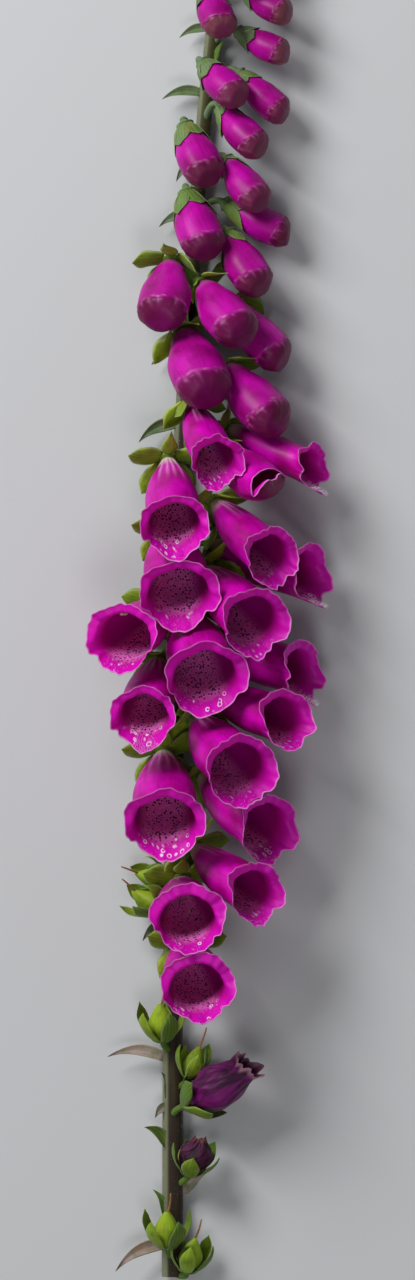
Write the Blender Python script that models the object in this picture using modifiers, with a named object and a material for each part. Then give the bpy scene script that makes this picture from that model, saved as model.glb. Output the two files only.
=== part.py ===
"""Foxglove flower spike, cut from the plant and laid on its back with the bells facing up.

The row frame is in metres: +Y runs up the spike, +X to its right as the bells face the
viewer, +Z up from the surface it lies on. The stalk's flattened back lies on Z = 0 and the
origin is on it. Each corolla (bud, bell, wilted bell) is an object of its own, seated just
clear of its receptacle, and everything green holds together in one more.
"""

import math
from collections import namedtuple

import bmesh
import bpy
import numpy as np

MM = 0.001

# The stalk, in millimetres.
FOOT = -256.0
TIP = 322.0
FOOT_RADIUS = 4.4
NECK = 256.0
NECK_RADIUS = 3.0
TIP_RADIUS = 1.1
STALK_SIDES = 10
STALK_STEP = 27.0
LEAN = 17.5
LEAN_FROM = -166.0
LEAN_OVER = 422.0
LEAN_POWER = 2.8

# Corollas, in millimetres, or shares of the corolla's length or half-width.
WALL = 0.7
FLATNESS = 0.86
MOUTH_SLANT = 0.05
BELLY_SAG = 0.10
BOW = 0.05
SIDE_BOW = 0.17
ELBOW_ROOM = 0.4
RIM_ROOM = 1.6
TABLE_ROOM = 0.8

# Stalks of flowers, calyxes and bracts, in millimetres.
SEAT_GAP = 0.35
RECEPTACLE_DEPTH = 3.2
PEDICEL_RADIUS = 1.3
BLADE = 0.7
BLADE_ROOM = 0.9
PEDICEL_ROOM = 2.0
SEPALS = 5
# How far below its base a flower's own stalk springs, and how far it arches.
PEDICEL_CHOICES = [(drop, arch) for drop in (7, 5, 9, 3, 0, -3, -6) for arch in (2, 0, 4)]

# Half-width along the corolla, as (share of length, share of the tube's half-width).
PROFILES = {
    "bell": ((0, 0.26), (0.12, 0.47), (0.3, 0.78), (0.52, 0.97), (0.82, 1.02), (1, 1.22)),
    "opening": ((0, 0.27), (0.12, 0.5), (0.33, 0.84), (0.6, 1.02), (0.86, 1.0), (1, 0.9)),
    "bud": ((0, 0.32), (0.12, 0.62), (0.36, 0.94), (0.62, 1.0), (0.85, 0.9), (1, 0.52)),
    "wilted": ((0, 0.36), (0.14, 0.76), (0.42, 1.0), (0.7, 0.86), (0.88, 0.7), (1, 0.86)),
    "withered": ((0, 0.5), (0.3, 0.9), (0.6, 1.0), (1, 0.8)),
    "capsule": ((-0.12, 0.5), (0.1, 0.8), (0.4, 1.0), (0.75, 0.62), (1, 0.18)),
    "closed": ((-0.12, 0.3), (0.1, 0.7), (0.4, 1.0), (0.75, 0.7), (1, 0.3)),
}
# A calyx's sepals: their length as a share of the corolla's and their width in mm, then how
# far the lower and the upper half of each spread from the flower's axis, in degrees.
CALYXES = {
    "bell": (0.3, 8.5, 72, 80),
    "opening": (0.33, 8.0, 60, 60),
    "bud": (0.42, 7.5, 42, 10),
    "wilted": (0.42, 8.0, 50, 30),
    "withered": (0.8, 7.5, 40, 15),
    "capsule": (1.05, 8.5, 36, 2),
}
# Other ways for a sepal to lie: how much less it spreads, in degrees, and its size.
SEPAL_CHOICES = [(less, size) for size in (1, 0.8, 0.6, 0.45, 0.3) for less in (0, -20, 25, -45, 45)]
# The pistil: (share of the corolla's length, rise towards its roof, radius in mm).
PISTIL = ((-0.04, 0, 1.1), (0.03, 0, 1.1), (0.15, 0.1, 1.6), (0.38, 0.4, 0.45), (0.84, 0.5, 0.5))
TUBE_SHARES = (0, 0.14, 0.4, 0.8, 1)
BUD_SHARES = (0, 0.12, 0.36, 0.62, 0.84, 1)
TUBE_COLUMNS = (0, 30, 64, 98, 134, 158, 180, -158, -134, -98, -64, -30)
BUD_COLUMNS = (0, 45, 90, 135, 180, -135, -90, -45)

# The rim's lobes: (angle from the upper lip's middle, half-width, both in degrees, reach as
# a share of the length). The lower lip reaches furthest.
LOBES = ((-33, 33, 0.03), (33, 33, 0.03), (-98, 36, 0.05), (98, 36, 0.05), (180, 46, 0.08))

# One row a flower, from the top down: the base's height along the spike, its offset to the
# side of the stalk's axis and its rise above the surface, in mm; how far the flower turns to
# the right from facing up and how far it droops towards the foot, in degrees; and the
# corolla's length and the tube's width, in mm.
Flower = namedtuple("Flower", "kind height side rise turn droop length width")
FLOWERS = (
    Flower("bud", 260, -4, 13, 25, 47, 22, 15),
    Flower("bud", 261, 11, 10, 65, 28, 22, 14),
    Flower("bud", 244, 11, 9, 70, 24, 22, 14),
    Flower("bud", 231, -2, 13, 48, 38, 24, 16),
    Flower("bud", 227, 13, 9, 74, 41, 25, 15),
    Flower("bud", 213, 7, 12, 55, 42, 25, 16),
    Flower("bud", 206, -7, 14, 36, 53, 27, 18),
    Flower("bud", 192, 11, 12, 53, 52, 26, 16),
    Flower("bud", 179, -4, 15, 30, 56, 29, 19),
    Flower("bud", 175, 12, 9, 76, 30, 28, 16),
    Flower("bud", 163, 14, 13, 49, 52, 28, 18),
    Flower("bud", 151, -8, 15, -8, 48, 32, 21),
    Flower("bud", 142, 5, 17, 48, 52, 33, 21),
    Flower("bud", 135, 17, 10, 56, 47, 32, 19),
    Flower("bud", 124, -1, 17, 30, 45, 36, 24),
    Flower("bud", 109, 17, 13, 54, 46, 35, 22),
    Flower("bell", 95, 3, 18, 32, 46, 38, 18),
    Flower("bell", 85, 18, 10, 75, 28, 40, 16),
    Flower("opening", 78, 15, 13, 46, 29, 38, 20),
    Flower("bell", 71, -5, 21, 8, 47, 45, 22),
    Flower("bell", 55, 14, 17, 48, 38, 43, 20),
    Flower("bell", 38, 13, 10, 80, 18, 44, 22),
    Flower("bell", 44, -4, 17, 1, 44, 42, 26),
    Flower("bell", 28, 12, 18, 34, 35, 42, 24),
    Flower("bell", 14, -5, 11, -19, 15, 42, 24),
    Flower("bell", 11, 5, 18, 13, 41, 42, 27),
    Flower("bell", -1, 15, 11, 80, 20, 40, 22),
    Flower("bell", -8, -7, 14, -8, 33, 44, 21),
    Flower("bell", -21, 14, 13, 56, 18, 43, 21),
    Flower("bell", -31, 9, 17, 34, 32, 44, 25),
    Flower("bell", -46, -4, 17, 1, 40, 45, 26),
    Flower("bell", -54, 11, 12, 60, 34, 42, 24),
    Flower("bell", -84, 8, 16, 46, 30, 42, 21),
    Flower("bell", -97, 4, 16, 9, 23, 41, 24),
    Flower("bell", -122, 5, 15, 8, 23, 42, 24),
    Flower("wilted", -186, 6, 12, 68, -30, 31, 18),
    Flower("withered", -213, 7, 11, 30, -58, 16, 13),
)

# Below the blooms, and in one gap between them, the calyxes hold seed capsules.
CAPSULES = (
    Flower("capsule", -107, -6, 14, -60, -30, 13, 10),
    Flower("capsule", -96, -4, 9, -65, -12, 12, 9),
    Flower("capsule", -159, -4, 12, -12, -66, 14, 11),
    Flower("capsule", -174, 7, 10, 40, -64, 12, 9),
    Flower("capsule", -242, -2, 13, -5, -64, 14, 11),
    Flower("capsule", -252, 6, 10, 30, -66, 13, 10),
)

# Above the last bud of the list the spike closes in: buds on a spiral, ever smaller, the
# last of them still shut inside their calyxes.
TIP_BUDS = 14
TIP_CLOSED = 7
TIP_START = 271.0
SPIRAL = 137.5
TIP_FAN = 72.0

# Bracts that show beside the blooms: height along the stalk, how far round it they spring
# to the right from facing up, their lift towards the tip and their length and width.
Bract = namedtuple("Bract", "height turn lift length width")
BRACTS = (
    Bract(246, -75, -17, 13, 3.5),
    Bract(220, -75, -8, 17, 4),
    Bract(232, 40, 53, 11, 3.5),
    Bract(192, -80, -45, 11, 3.5),
    Bract(171, -80, -20, 14, 4),
    Bract(117, -80, -27, 14, 4),
    Bract(87, -75, -24, 18, 5),
    Bract(-114, -75, -35, 12, 4),
    Bract(-168, -80, 3, 24, 4.5),
    Bract(-184, -50, 78, 11, 4),
    Bract(-187, -60, -45, 7, 3.5),
    Bract(-203, -50, 35, 14, 5),
    Bract(-222, 85, 38, 16, 6),
    Bract(-232, -60, 65, 13, 4),
    Bract(-243, -70, -25, 24, 5),
)

# The bells whose bracts are hidden between them, as a slice of the list.
BRACTLESS = slice(11, 35, 2)


def stalk_side(height):
    """How far the stalk's axis has leaned to the right at this height, in mm."""
    climb = np.maximum(0.0, height - LEAN_FROM) / LEAN_OVER
    return LEAN * climb**LEAN_POWER - LEAN * (-LEAN_FROM / LEAN_OVER) ** LEAN_POWER


def stalk_radius(height):
    """The stalk's radius at this height, in mm: a slow taper, then a quick one in the tip."""
    return np.interp(height, (FOOT, NECK, TIP), (FOOT_RADIUS, NECK_RADIUS, TIP_RADIUS))


def stalk_centre(height):
    """The stalk's axis at this height. One flat side lies on the surface all along."""
    rise = stalk_radius(height) * math.cos(math.pi / STALK_SIDES)
    return np.array([stalk_side(height), height, rise])


def around(turn):
    """The direction square to the stalk at this turn to the right from facing up."""
    angle = math.radians(turn)
    return np.array([math.sin(angle), 0.0, math.cos(angle)])


def unit(vector):
    """The vector at length 1."""
    return vector / np.linalg.norm(vector)


def smooth_value(keys, at):
    """The value at a place along rising keys, on a smooth curve through them."""
    places = [place for place, _ in keys]
    values = [value for _, value in keys]
    last = len(keys) - 1
    i = max(0, min(last - 1, sum(place <= at for place in places) - 1))
    span = places[i + 1] - places[i]
    t = min(1.0, max(0.0, (at - places[i]) / span))

    def slope(j):
        low, high = max(0, j - 1), min(last, j + 1)
        return (values[high] - values[low]) / (places[high] - places[low])

    bends = slope(i) * (t**3 - 2 * t**2 + t) + slope(i + 1) * (t**3 - t**2)
    return values[i] + (values[i + 1] - values[i]) * (3 * t**2 - 2 * t**3) + span * bends


def lobes(degrees):
    """How far the rim's lobes reach at this angle, as a share of the length."""
    reach = 0.0
    for middle, half_width, most in LOBES:
        apart = abs((degrees - middle + 180) % 360 - 180)
        if apart < half_width:
            reach += most * math.cos(math.pi / 2 * apart / half_width) ** 2
    return reach


class Bloom:
    """One flower in place: its row of the list, its base and the way it points."""

    def __init__(self, flower):
        self.flower = flower
        turn, droop = math.radians(flower.turn), math.radians(flower.droop)
        side = float(stalk_side(flower.height)) + flower.side
        self.base = np.array([side, flower.height, flower.rise])
        out = math.cos(droop)
        self.axis = np.array([math.sin(turn) * out, -math.sin(droop), math.cos(turn) * out])
        self.listed = self.base.copy(), self.axis.copy()
        self.profile = PROFILES[flower.kind]
        open_mouth = flower.kind in ("bell", "opening")
        self.bow = (BOW + SIDE_BOW * abs(math.sin(turn))) * flower.length * open_mouth

    def frame(self):
        """The corolla's sideways, upper-lip and lengthways directions, as rows."""
        upper = unit(np.array([0.0, 1.0, 0.0]) - self.axis * self.axis[1])
        return np.array([np.cross(upper, self.axis), upper, self.axis])

    def place(self, local):
        """Points of the corolla's own frame, in the row's."""
        return self.base + np.asarray(local) @ self.frame()

    def half_width(self, share):
        """The corolla's half-width at this share of its length, in mm."""
        return smooth_value(self.profile, share) * self.flower.width / 2

    def core(self, share):
        """The middle of the tube at this share of its length, in the corolla's frame.

        The belly hangs a little below the axis, and an open bell bows to face forward.
        """
        inside = min(1, max(0, share))
        side, upper = self.frame()[:2, 2] * self.bow * inside**2
        sag = BELLY_SAG * self.flower.width / 2 * math.sin(math.pi * inside)
        return np.array([side, upper - sag, share * self.flower.length])

    def surface(self, degrees, share):
        """A point on the outside, in the corolla's frame, this far round from the upper lip."""
        angle = math.radians(degrees)
        half = self.half_width(share)
        across = np.array([half * math.sin(angle), half * math.cos(angle) * FLATNESS])
        along = -MOUTH_SLANT * math.cos(angle) * share**3 * self.flower.length
        if share == 1 and self.flower.kind in ("bell", "opening", "wilted"):
            along += lobes(degrees) * self.flower.length
        lean = self.frame()[:2, 2] * self.bow * 2 * share / self.flower.length
        return self.core(share) + (*across, along - across.dot(lean))

    def balls(self):
        """Balls that fill the corolla, in its frame, as rows of centre and radius."""
        shares = (0.08, 0.2, 0.33, 0.47, 0.62, 0.78, 0.9)
        rows = [(*self.core(share), self.half_width(share) * 0.97) for share in shares]
        if self.flower.kind != "bud":
            rows += [(*self.surface(degrees, 1), RIM_ROOM) for degrees in range(0, 360, 30)]
        return np.array(rows)

    def room(self, point):
        """How far a point is from the outside of the corolla, in mm; below 0 inside it."""
        local = self.frame() @ (point - self.base)
        share = local[2] / self.flower.length
        beyond = max(-local[2], (share - 1.1) * self.flower.length)
        x, y, _ = local - self.core(share)
        return max(beyond, math.hypot(x, y / FLATNESS) - self.half_width(share))


def jostle(blooms, rounds=90):
    """Neighbouring flowers push each other aside until each is clear, as on the plant.

    A flower gives mostly by swinging on its pedicel and a little by shifting its base, and
    leans back to its listed place while there is room.
    """
    local = [bloom.balls() for bloom in blooms]
    owner = np.repeat(np.arange(len(blooms)), [len(rows) for rows in local])
    radius = np.concatenate([rows[:, 3] for rows in local])
    lever = np.concatenate([rows[:, 2] for rows in local])
    strangers = owner[:, None] != owner[None]
    for turn in range(rounds):
        centre = np.concatenate([b.place(rows[:, :3]) for b, rows in zip(blooms, local)])
        apart = centre[:, None] - centre[None]
        distance = np.linalg.norm(apart, axis=2) + 1e-9
        depth = np.clip(radius[:, None] + radius[None] + ELBOW_ROOM - distance, 0, None)
        depth *= strangers
        push = (apart / distance[..., None] * depth[..., None]).sum(1) / 2
        push[:, 2] += np.clip(radius + TABLE_ROOM - centre[:, 2], 0, None)
        away = (centre - stalk_centre_rows(centre[:, 1])) * (1, 0, 1)
        gap = radius + stalk_radius(centre[:, 1]) + ELBOW_ROOM - np.linalg.norm(away, axis=1)
        gap = np.where(lever < 8, 0, np.clip(gap, 0, None))
        push += away / np.linalg.norm(away, axis=1)[:, None] * gap[:, None]
        ease = 0.03 * (1 - turn / rounds)
        for i, bloom in enumerate(blooms):
            mine = owner == i
            swing = (push[mine] * lever[mine, None]).sum(0) / (lever[mine] ** 2).sum() * 2
            home_base, home_axis = bloom.listed
            bloom.axis = unit(bloom.axis + swing * 0.8 + (home_axis - bloom.axis) * ease)
            bloom.base = bloom.base + push[mine].mean(0) * 0.25
            bloom.base = bloom.base + (home_base - bloom.base) * ease


def stalk_centre_rows(heights):
    """The stalk's axis at each of these heights."""
    rise = stalk_radius(heights) * math.cos(math.pi / STALK_SIDES)
    return np.stack([stalk_side(heights), heights, rise], axis=1)


def tip_flowers():
    """The buds that close the spike's tip, smaller and tighter as they go up."""
    found = []
    for i in range(TIP_BUDS):
        share = i / (TIP_BUDS - 1)
        height = TIP_START + (TIP - TIP_START) * (1 - (1 - share) ** 1.25)
        turn = 25 + TIP_FAN * math.sin(math.radians(SPIRAL * i))
        length = 20 - 14 * share
        out = around(turn) * (4 + 5 * (1 - share))
        rise = stalk_radius(height) + max(0.36 * length, out[2])
        kind = "closed" if i >= TIP_BUDS - TIP_CLOSED else "bud"
        droop = 22 - 62 * share
        found.append(Flower(kind, height, out[0], rise, turn, droop, length, length * 0.62))
    return found


def make_object(name, mesh, collection):
    """A new object of this mesh, in this collection."""
    made = bpy.data.objects.new(name, mesh)
    collection.objects.link(made)
    return made


def mesh_from(name, points, faces, closed=True):
    """A mesh of these points, in mm, and faces, turned outward if they close a solid."""
    mesh = bpy.data.meshes.new(name)
    mesh.from_pydata([tuple(float(v) * MM for v in point) for point in points], [], faces)
    shape = bmesh.new()
    shape.from_mesh(mesh)
    if closed:
        bmesh.ops.recalc_face_normals(shape, faces=shape.faces)
    shape.to_mesh(mesh)
    shape.free()
    return mesh


def ring_faces(rings, columns, closed):
    """The quads between successive rings, with both end faces if closed."""
    faces = []
    for ring in range(rings - 1):
        for i in range(columns):
            j, low, high = (i + 1) % columns, ring * columns, (ring + 1) * columns
            faces.append((low + i, high + i, high + j, low + j))
    if closed:
        faces.append(tuple(range(columns)))
        faces.append(tuple(reversed(range((rings - 1) * columns, rings * columns))))
    return faces


def tube(name, path, sides, collection):
    """A closed rod along a path of (point, radius), in mm."""
    curve = bpy.data.curves.new(name, "CURVE")
    curve.dimensions = "3D"
    curve.bevel_depth = MM
    curve.bevel_resolution = (sides - 4) // 2
    curve.use_fill_caps = True
    spline = curve.splines.new("POLY")
    spline.points.add(len(path) - 1)
    for knot, (point, radius) in zip(spline.points, path):
        knot.co = (*(float(v) * MM for v in point), 1)
        knot.radius = radius
    holder = bpy.data.objects.new(name, curve)
    mesh = bpy.data.meshes.new_from_object(holder)
    bpy.data.objects.remove(holder)
    bpy.data.curves.remove(curve)
    shape = bmesh.new()
    shape.from_mesh(mesh)
    bmesh.ops.remove_doubles(shape, verts=shape.verts, dist=1e-6)
    bmesh.ops.recalc_face_normals(shape, faces=shape.faces)
    shape.to_mesh(mesh)
    shape.free()
    return make_object(name, mesh, collection)


def stalk_mesh():
    """The stalk: ten-sided rings from the cut foot to the tip, one flat side underneath."""
    rings = math.ceil((TIP - FOOT) / STALK_STEP)
    points = []
    for ring in range(rings + 1):
        height = FOOT + (TIP - FOOT) * ring / rings
        centre, radius = stalk_centre(height), stalk_radius(height)
        for side in range(STALK_SIDES):
            turn = 360 * (side + 0.5) / STALK_SIDES + 180
            points.append(centre + around(turn) * radius)
    return mesh_from("stalk", points, ring_faces(rings + 1, STALK_SIDES, True))


def corolla_mesh(bloom, name):
    """A corolla's outside: a closed bud, or a tube open at the seat and the mouth."""
    bud = bloom.flower.kind == "bud"
    shares, columns = (BUD_SHARES, BUD_COLUMNS) if bud else (TUBE_SHARES, TUBE_COLUMNS)
    points = [bloom.surface(degrees, share) for share in shares for degrees in columns]
    return mesh_from(name, bloom.place(points), ring_faces(len(shares), len(columns), bud), bud)


def blade_points(root, out, bend, across, length, width):
    """A leaf blade's eight corners: it leaves its root along out and ends along bend."""
    normal = unit(np.cross(across, out))
    middle = root + out * length * 0.45
    tip = middle + bend * length * 0.55
    outline = [root, middle - across * width / 2, tip, middle + across * width / 2]
    return [point + normal * BLADE * half for half in (-0.5, 0.5) for point in outline]


def bract_points(bract):
    """A bract's eight corners: it springs from the stalk and curves down to its point."""
    out = around(bract.turn)
    lift, sink = math.radians(bract.lift + 15), math.radians(bract.lift - 15)
    first = out * math.cos(lift) + np.array([0.0, math.sin(lift), 0.0])
    second = out * math.cos(sink) + np.array([0.0, math.sin(sink), 0.0])
    across = unit(np.cross(first, np.cross(np.array([0.0, 1.0, 0.0]), out)))
    root = stalk_centre(bract.height) + out * (stalk_radius(bract.height) - 0.8)
    return blade_points(root, first, second, across, bract.length, bract.width)


def bract_blades(blooms):
    """Every bract's corners: those listed, then small ones under the bells where there is room."""
    found = [bract_points(bract) for bract in BRACTS]
    for bloom in blooms[-len(FLOWERS) :][BRACTLESS]:
        height, turn = bloom.flower.height - 10, bloom.flower.turn
        for swing in (-60, 60, -90, 90):
            for lift in (60, 30, 0, -40):
                bract = Bract(height, max(-95, min(95, turn + swing)), lift, 13, 4)
                points = bract_points(bract)
                if clear(points[1:4], blooms) and clear(points[5:], blooms):
                    found.append(points)
                    break
            else:
                continue
            break
    return found


def blade_mesh(name, points):
    """A leaf blade between its eight corners, folded along its widest line."""
    faces = [(0, 1, 3), (1, 2, 3), (4, 7, 5), (5, 7, 6)]
    faces += [(i, (i + 1) % 4, (i + 1) % 4 + 4, i + 4) for i in range(4)]
    return mesh_from(name, points, faces)


def clear(points, blooms, but=None, room=BLADE_ROOM):
    """Whether lines through the points keep off the surface and all corollas but one's own."""
    if min(point[2] for point in points) < TABLE_ROOM:
        return False
    near = [b for b in blooms if b is not but and np.linalg.norm(b.base - points[0]) < 75]
    between = [a + (b - a) * t for a, b in zip(points, points[1:]) for t in (0, 0.33, 0.67)]
    return all(b.room(point) > room for b in near for point in between + [points[-1]])


def sepal(bloom, blooms, i):
    """One sepal's widest line and tip, in the corolla's frame: two points, then the tip.

    It spreads as its kind does while keeping off its own corolla, and folds in or stays
    shorter where a neighbour is in the way.
    """
    reach, width, first, second = CALYXES[bloom.flower.kind]
    angle = math.radians(360 / SEPALS * i)
    out = np.array([math.sin(angle), math.cos(angle), 0])
    across = np.array([math.cos(angle), -math.sin(angle), 0]) * min(width, bloom.flower.width * 0.5)
    for less, size in SEPAL_CHOICES:
        half = (bloom.flower.length * reach + 1) * (0.8 if i == 0 else 1) * size / 2
        far, high = bloom.half_width(0) + 0.6, -SEAT_GAP
        knots = []
        for spread in (first - less, second - less):
            far += half * math.sin(math.radians(spread))
            high += half * math.cos(math.radians(spread))
            far = max(far, bloom.half_width(high / bloom.flower.length) + 1.1)
            knots.append(out * far + (0, 0, high))
        corners = [knots[0] - across * size / 2, knots[0] + across * size / 2, knots[1]]
        if clear(list(bloom.place(corners)), blooms, but=bloom):
            break
    return corners


def pedicel_rings(bloom, blooms):
    """Five-sided rings up a flower's own stalk, from inside the main stalk to its neck."""
    neck = bloom.base - bloom.axis * (SEAT_GAP + RECEPTACLE_DEPTH)
    for drop, arch in PEDICEL_CHOICES:
        start = stalk_centre(max(FOOT + 2, bloom.base[1] - drop))
        knee = start * 0.35 + neck * 0.65 - bloom.axis * arch + (0, 1, 0)
        if clear([start * 0.5 + knee * 0.5, knee, neck], blooms, room=PEDICEL_ROOM):
            break
    side = bloom.frame()[0]
    radius = min(PEDICEL_RADIUS, 0.75 * stalk_radius(start[1]))
    for place in (knee, neck):
        place[2] = max(place[2], radius + 0.3)
    points = []
    for place, course in ((start, knee - start), (knee, neck - start), (neck, bloom.axis)):
        along = unit(course)
        first = unit(side - along * side.dot(along))
        second = np.cross(along, first)
        for i in range(SEPALS):
            angle = math.radians(360 / SEPALS * (i + 0.5))
            points.append(place + (first * math.sin(angle) + second * math.cos(angle)) * radius)
    return points


def calyx_mesh(bloom, blooms):
    """A flower's own stalk, its receptacle and its five sepals, in one closed skin."""
    points = pedicel_rings(bloom, blooms)
    seat = bloom.half_width(0) + 0.6
    blades = [sepal(bloom, blooms, i) for i in range(SEPALS)]
    for wider, lower in ((0.4, 1.3), (0, 0)):
        for i in range(SEPALS):
            angle = math.radians(360 / SEPALS * (i + 0.5))
            spot = np.array([math.sin(angle), math.cos(angle), 0]) * (seat + wider)
            points.append(bloom.place(spot - (0, 0, SEAT_GAP + lower)))
    for thick in (BLADE, 0):
        for blade in blades:
            for corner in blade:
                away = unit(corner * (1, 1, 0)) * thick * 0.7 - (0, 0, thick * 0.8)
                points.append(bloom.place(corner + away))
    faces = [tuple(range(SEPALS))] + ring_faces(4, SEPALS, False)
    back, floor, outer, inner = 3 * SEPALS, 4 * SEPALS, 5 * SEPALS, 8 * SEPALS
    faces.append(tuple(range(floor, floor + SEPALS)))
    for i in range(SEPALS):
        before, left, right, tip = (i - 1) % SEPALS, 3 * i, 3 * i + 1, 3 * i + 2
        for notch, blade in ((back, outer), (floor, inner)):
            faces.append((notch + before, notch + i, blade + right, blade + left))
            faces.append((blade + left, blade + right, blade + tip))
        faces.append((back + before, floor + before, inner + left, outer + left))
        faces.append((back + i, floor + i, inner + right, outer + right))
        faces.append((outer + left, inner + left, inner + tip, outer + tip))
        faces.append((outer + right, inner + right, inner + tip, outer + tip))
    return mesh_from("calyx", points, faces)


def closed_bud_mesh(bloom, blooms):
    """A tip bud still shut in its calyx, with its own stalk."""
    points = pedicel_rings(bloom, blooms)
    for share, _ in bloom.profile:
        for i in range(SEPALS):
            points.append(bloom.place(bloom.surface(360 / SEPALS * (i + 0.5), share)))
    return mesh_from("closed_bud", points, ring_faces(3 + len(bloom.profile), SEPALS, True))


def capsule_mesh(bloom):
    """A plump seed capsule with its root sunk in the calyx's floor."""
    points = []
    for share, _ in bloom.profile:
        points += [bloom.place(bloom.surface(60 * i, share)) for i in range(6)]
    return mesh_from("capsule", points, ring_faces(len(bloom.profile), 6, True))


def pistil(bloom, collection):
    """The ovary on the receptacle and its style, which runs along under the corolla's roof."""
    path = []
    for share, up, radius in PISTIL:
        roof = bloom.half_width(share) * FLATNESS * up
        path.append((bloom.place(bloom.core(share) + (0, roof, 0)), radius))
    tube("pistil", path, 4, collection)


def material(name, colour, roughness):
    """A plain Principled material."""
    made = bpy.data.materials.new(name)
    made.use_nodes = True
    shader = made.node_tree.nodes["Principled BSDF"]
    shader.inputs["Base Color"].default_value = (*colour, 1)
    shader.inputs["Roughness"].default_value = roughness
    shader.inputs["Metallic"].default_value = 0.0
    return made


def join(target, pieces, solver="MANIFOLD"):
    """Unites a collection of closed pieces with the target and removes the pieces."""
    union = target.modifiers.new("union", "BOOLEAN")
    union.operation = "UNION"
    union.operand_type = "COLLECTION"
    union.collection = pieces
    union.solver = solver
    bpy.context.view_layer.update()
    depsgraph = bpy.context.evaluated_depsgraph_get()
    mesh = bpy.data.meshes.new_from_object(target.evaluated_get(depsgraph))
    target.modifiers.remove(union)
    target.data = mesh
    for piece in list(pieces.objects):
        bpy.data.objects.remove(piece)
    bpy.data.collections.remove(pieces)


def new_collection(name):
    """A collection in the scene."""
    made = bpy.data.collections.new(name)
    bpy.context.scene.collection.children.link(made)
    return made


def build_green(blooms, capsules, closed):
    """Everything green in one piece: stalk, flower stalks, calyxes, capsules and bracts."""
    root = bpy.context.scene.collection
    stalk = make_object("stalk_with_calyxes", stalk_mesh(), root)
    pieces = new_collection("green_pieces")
    for bloom in blooms + capsules:
        make_object("calyx", calyx_mesh(bloom, blooms), pieces)
    for bloom in closed:
        make_object("closed_bud", closed_bud_mesh(bloom, blooms), pieces)
    for bloom in capsules:
        make_object("capsule", capsule_mesh(bloom), pieces)
    for bloom in capsules:
        end = bloom.flower.length
        path = [(bloom.place((0, 0, end * 0.9)), 0.5), (bloom.place((2, 1, end + 8)), 0.45)]
        tube("dried_style", path, 4, pieces)
    for bloom in blooms:
        if bloom.flower.kind in ("bell", "opening"):
            pistil(bloom, pieces)
    for points in bract_blades(blooms):
        make_object("bract", blade_mesh("bract", points), pieces)
    join(stalk, pieces)
    stalk.data.materials.clear()
    stalk.data.materials.append(material("spike_green", (0.09, 0.12, 0.035), 0.6))
    return stalk


def build_corolla(bloom, name):
    """One corolla: a solid bud, or a tube with a thin wall."""
    scene = bpy.context.scene.collection
    made = make_object(name, corolla_mesh(bloom, name), scene)
    kind = bloom.flower.kind
    if kind != "bud":
        wall = made.modifiers.new("wall", "SOLIDIFY")
        wall.thickness = WALL * MM
        wall.offset = -1
        wall.use_even_offset = True
    colour = {"wilted": (0.12, 0.01, 0.09), "withered": (0.03, 0.012, 0.02)}.get(kind, (0.42, 0.006, 0.3))
    made.data.materials.append(material(name, colour, 0.55))
    return made


def main():
    """Clears the scene and builds the spike."""
    for stray in list(bpy.data.objects):
        bpy.data.objects.remove(stray)
    top = [Bloom(flower) for flower in tip_flowers()]
    closed = [bloom for bloom in top if bloom.flower.kind == "closed"]
    blooms = [bloom for bloom in top if bloom.flower.kind == "bud"]
    blooms += [Bloom(flower) for flower in FLOWERS]
    jostle(blooms)
    build_green(blooms, [Bloom(flower) for flower in CAPSULES], closed)
    counts = {}
    for bloom in blooms:
        kind = bloom.flower.kind
        counts[kind] = counts.get(kind, 0) + 1
        name = f"{kind}_{counts[kind]:02d}" if kind in ("bud", "bell") else f"{kind}_bell"
        build_corolla(bloom, name)


main()
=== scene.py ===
"""Foxglove flower spike, cut and laid on its back: petals, calyxes, stalk and their finishes.

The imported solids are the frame. Each flower is placed by the same list and the same gentle
jostling as its solid, and then gets its own fine petals, sepals, stamens and hairs.
"""

import logging
import math
from dataclasses import dataclass, field
from enum import Enum

import bpy
import numpy as np
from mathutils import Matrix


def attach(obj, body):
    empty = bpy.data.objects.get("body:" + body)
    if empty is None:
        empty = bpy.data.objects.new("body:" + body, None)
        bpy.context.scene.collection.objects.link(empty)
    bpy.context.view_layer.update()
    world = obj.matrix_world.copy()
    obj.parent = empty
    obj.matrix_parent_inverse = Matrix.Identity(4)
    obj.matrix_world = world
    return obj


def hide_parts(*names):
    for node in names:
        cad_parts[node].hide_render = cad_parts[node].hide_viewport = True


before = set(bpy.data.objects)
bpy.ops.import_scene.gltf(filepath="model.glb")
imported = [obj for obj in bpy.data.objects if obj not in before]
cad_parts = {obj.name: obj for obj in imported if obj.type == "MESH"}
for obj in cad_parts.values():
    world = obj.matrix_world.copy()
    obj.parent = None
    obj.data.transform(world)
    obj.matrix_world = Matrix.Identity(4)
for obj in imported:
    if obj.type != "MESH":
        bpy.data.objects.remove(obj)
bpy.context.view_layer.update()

LOG = logging.getLogger("foxglove")
MM = 0.001
Array = np.ndarray

# The stalk's own sizes, in millimetres, as the solid has them.
FOOT, TIP, NECK = -256.0, 322.0, 256.0
FOOT_RADIUS, NECK_RADIUS, TIP_RADIUS = 4.4, 3.0, 1.1
STALK_SIDES = 10
LEAN, LEAN_FROM, LEAN_OVER, LEAN_POWER = 17.5, -166.0, 422.0, 2.8

# How a flower fills its place, in millimetres or as shares of its length or half-width.
FLATNESS, MOUTH_SLANT, BELLY_SAG, BOW, SIDE_BOW = 0.86, 0.05, 0.10, 0.05, 0.17
ELBOW_ROOM, RIM_ROOM, TABLE_ROOM = 0.4, 1.6, 0.8
BALL_SHARES, BALL_FILL = (0.08, 0.2, 0.33, 0.47, 0.62, 0.78, 0.9), 0.97
# How readily a pushed flower swings, slides and comes home, and how near its base it feels the stalk.
SWING, SLIDE, HOMING, LEVER = 0.8, 0.25, 0.03, 8
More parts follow.
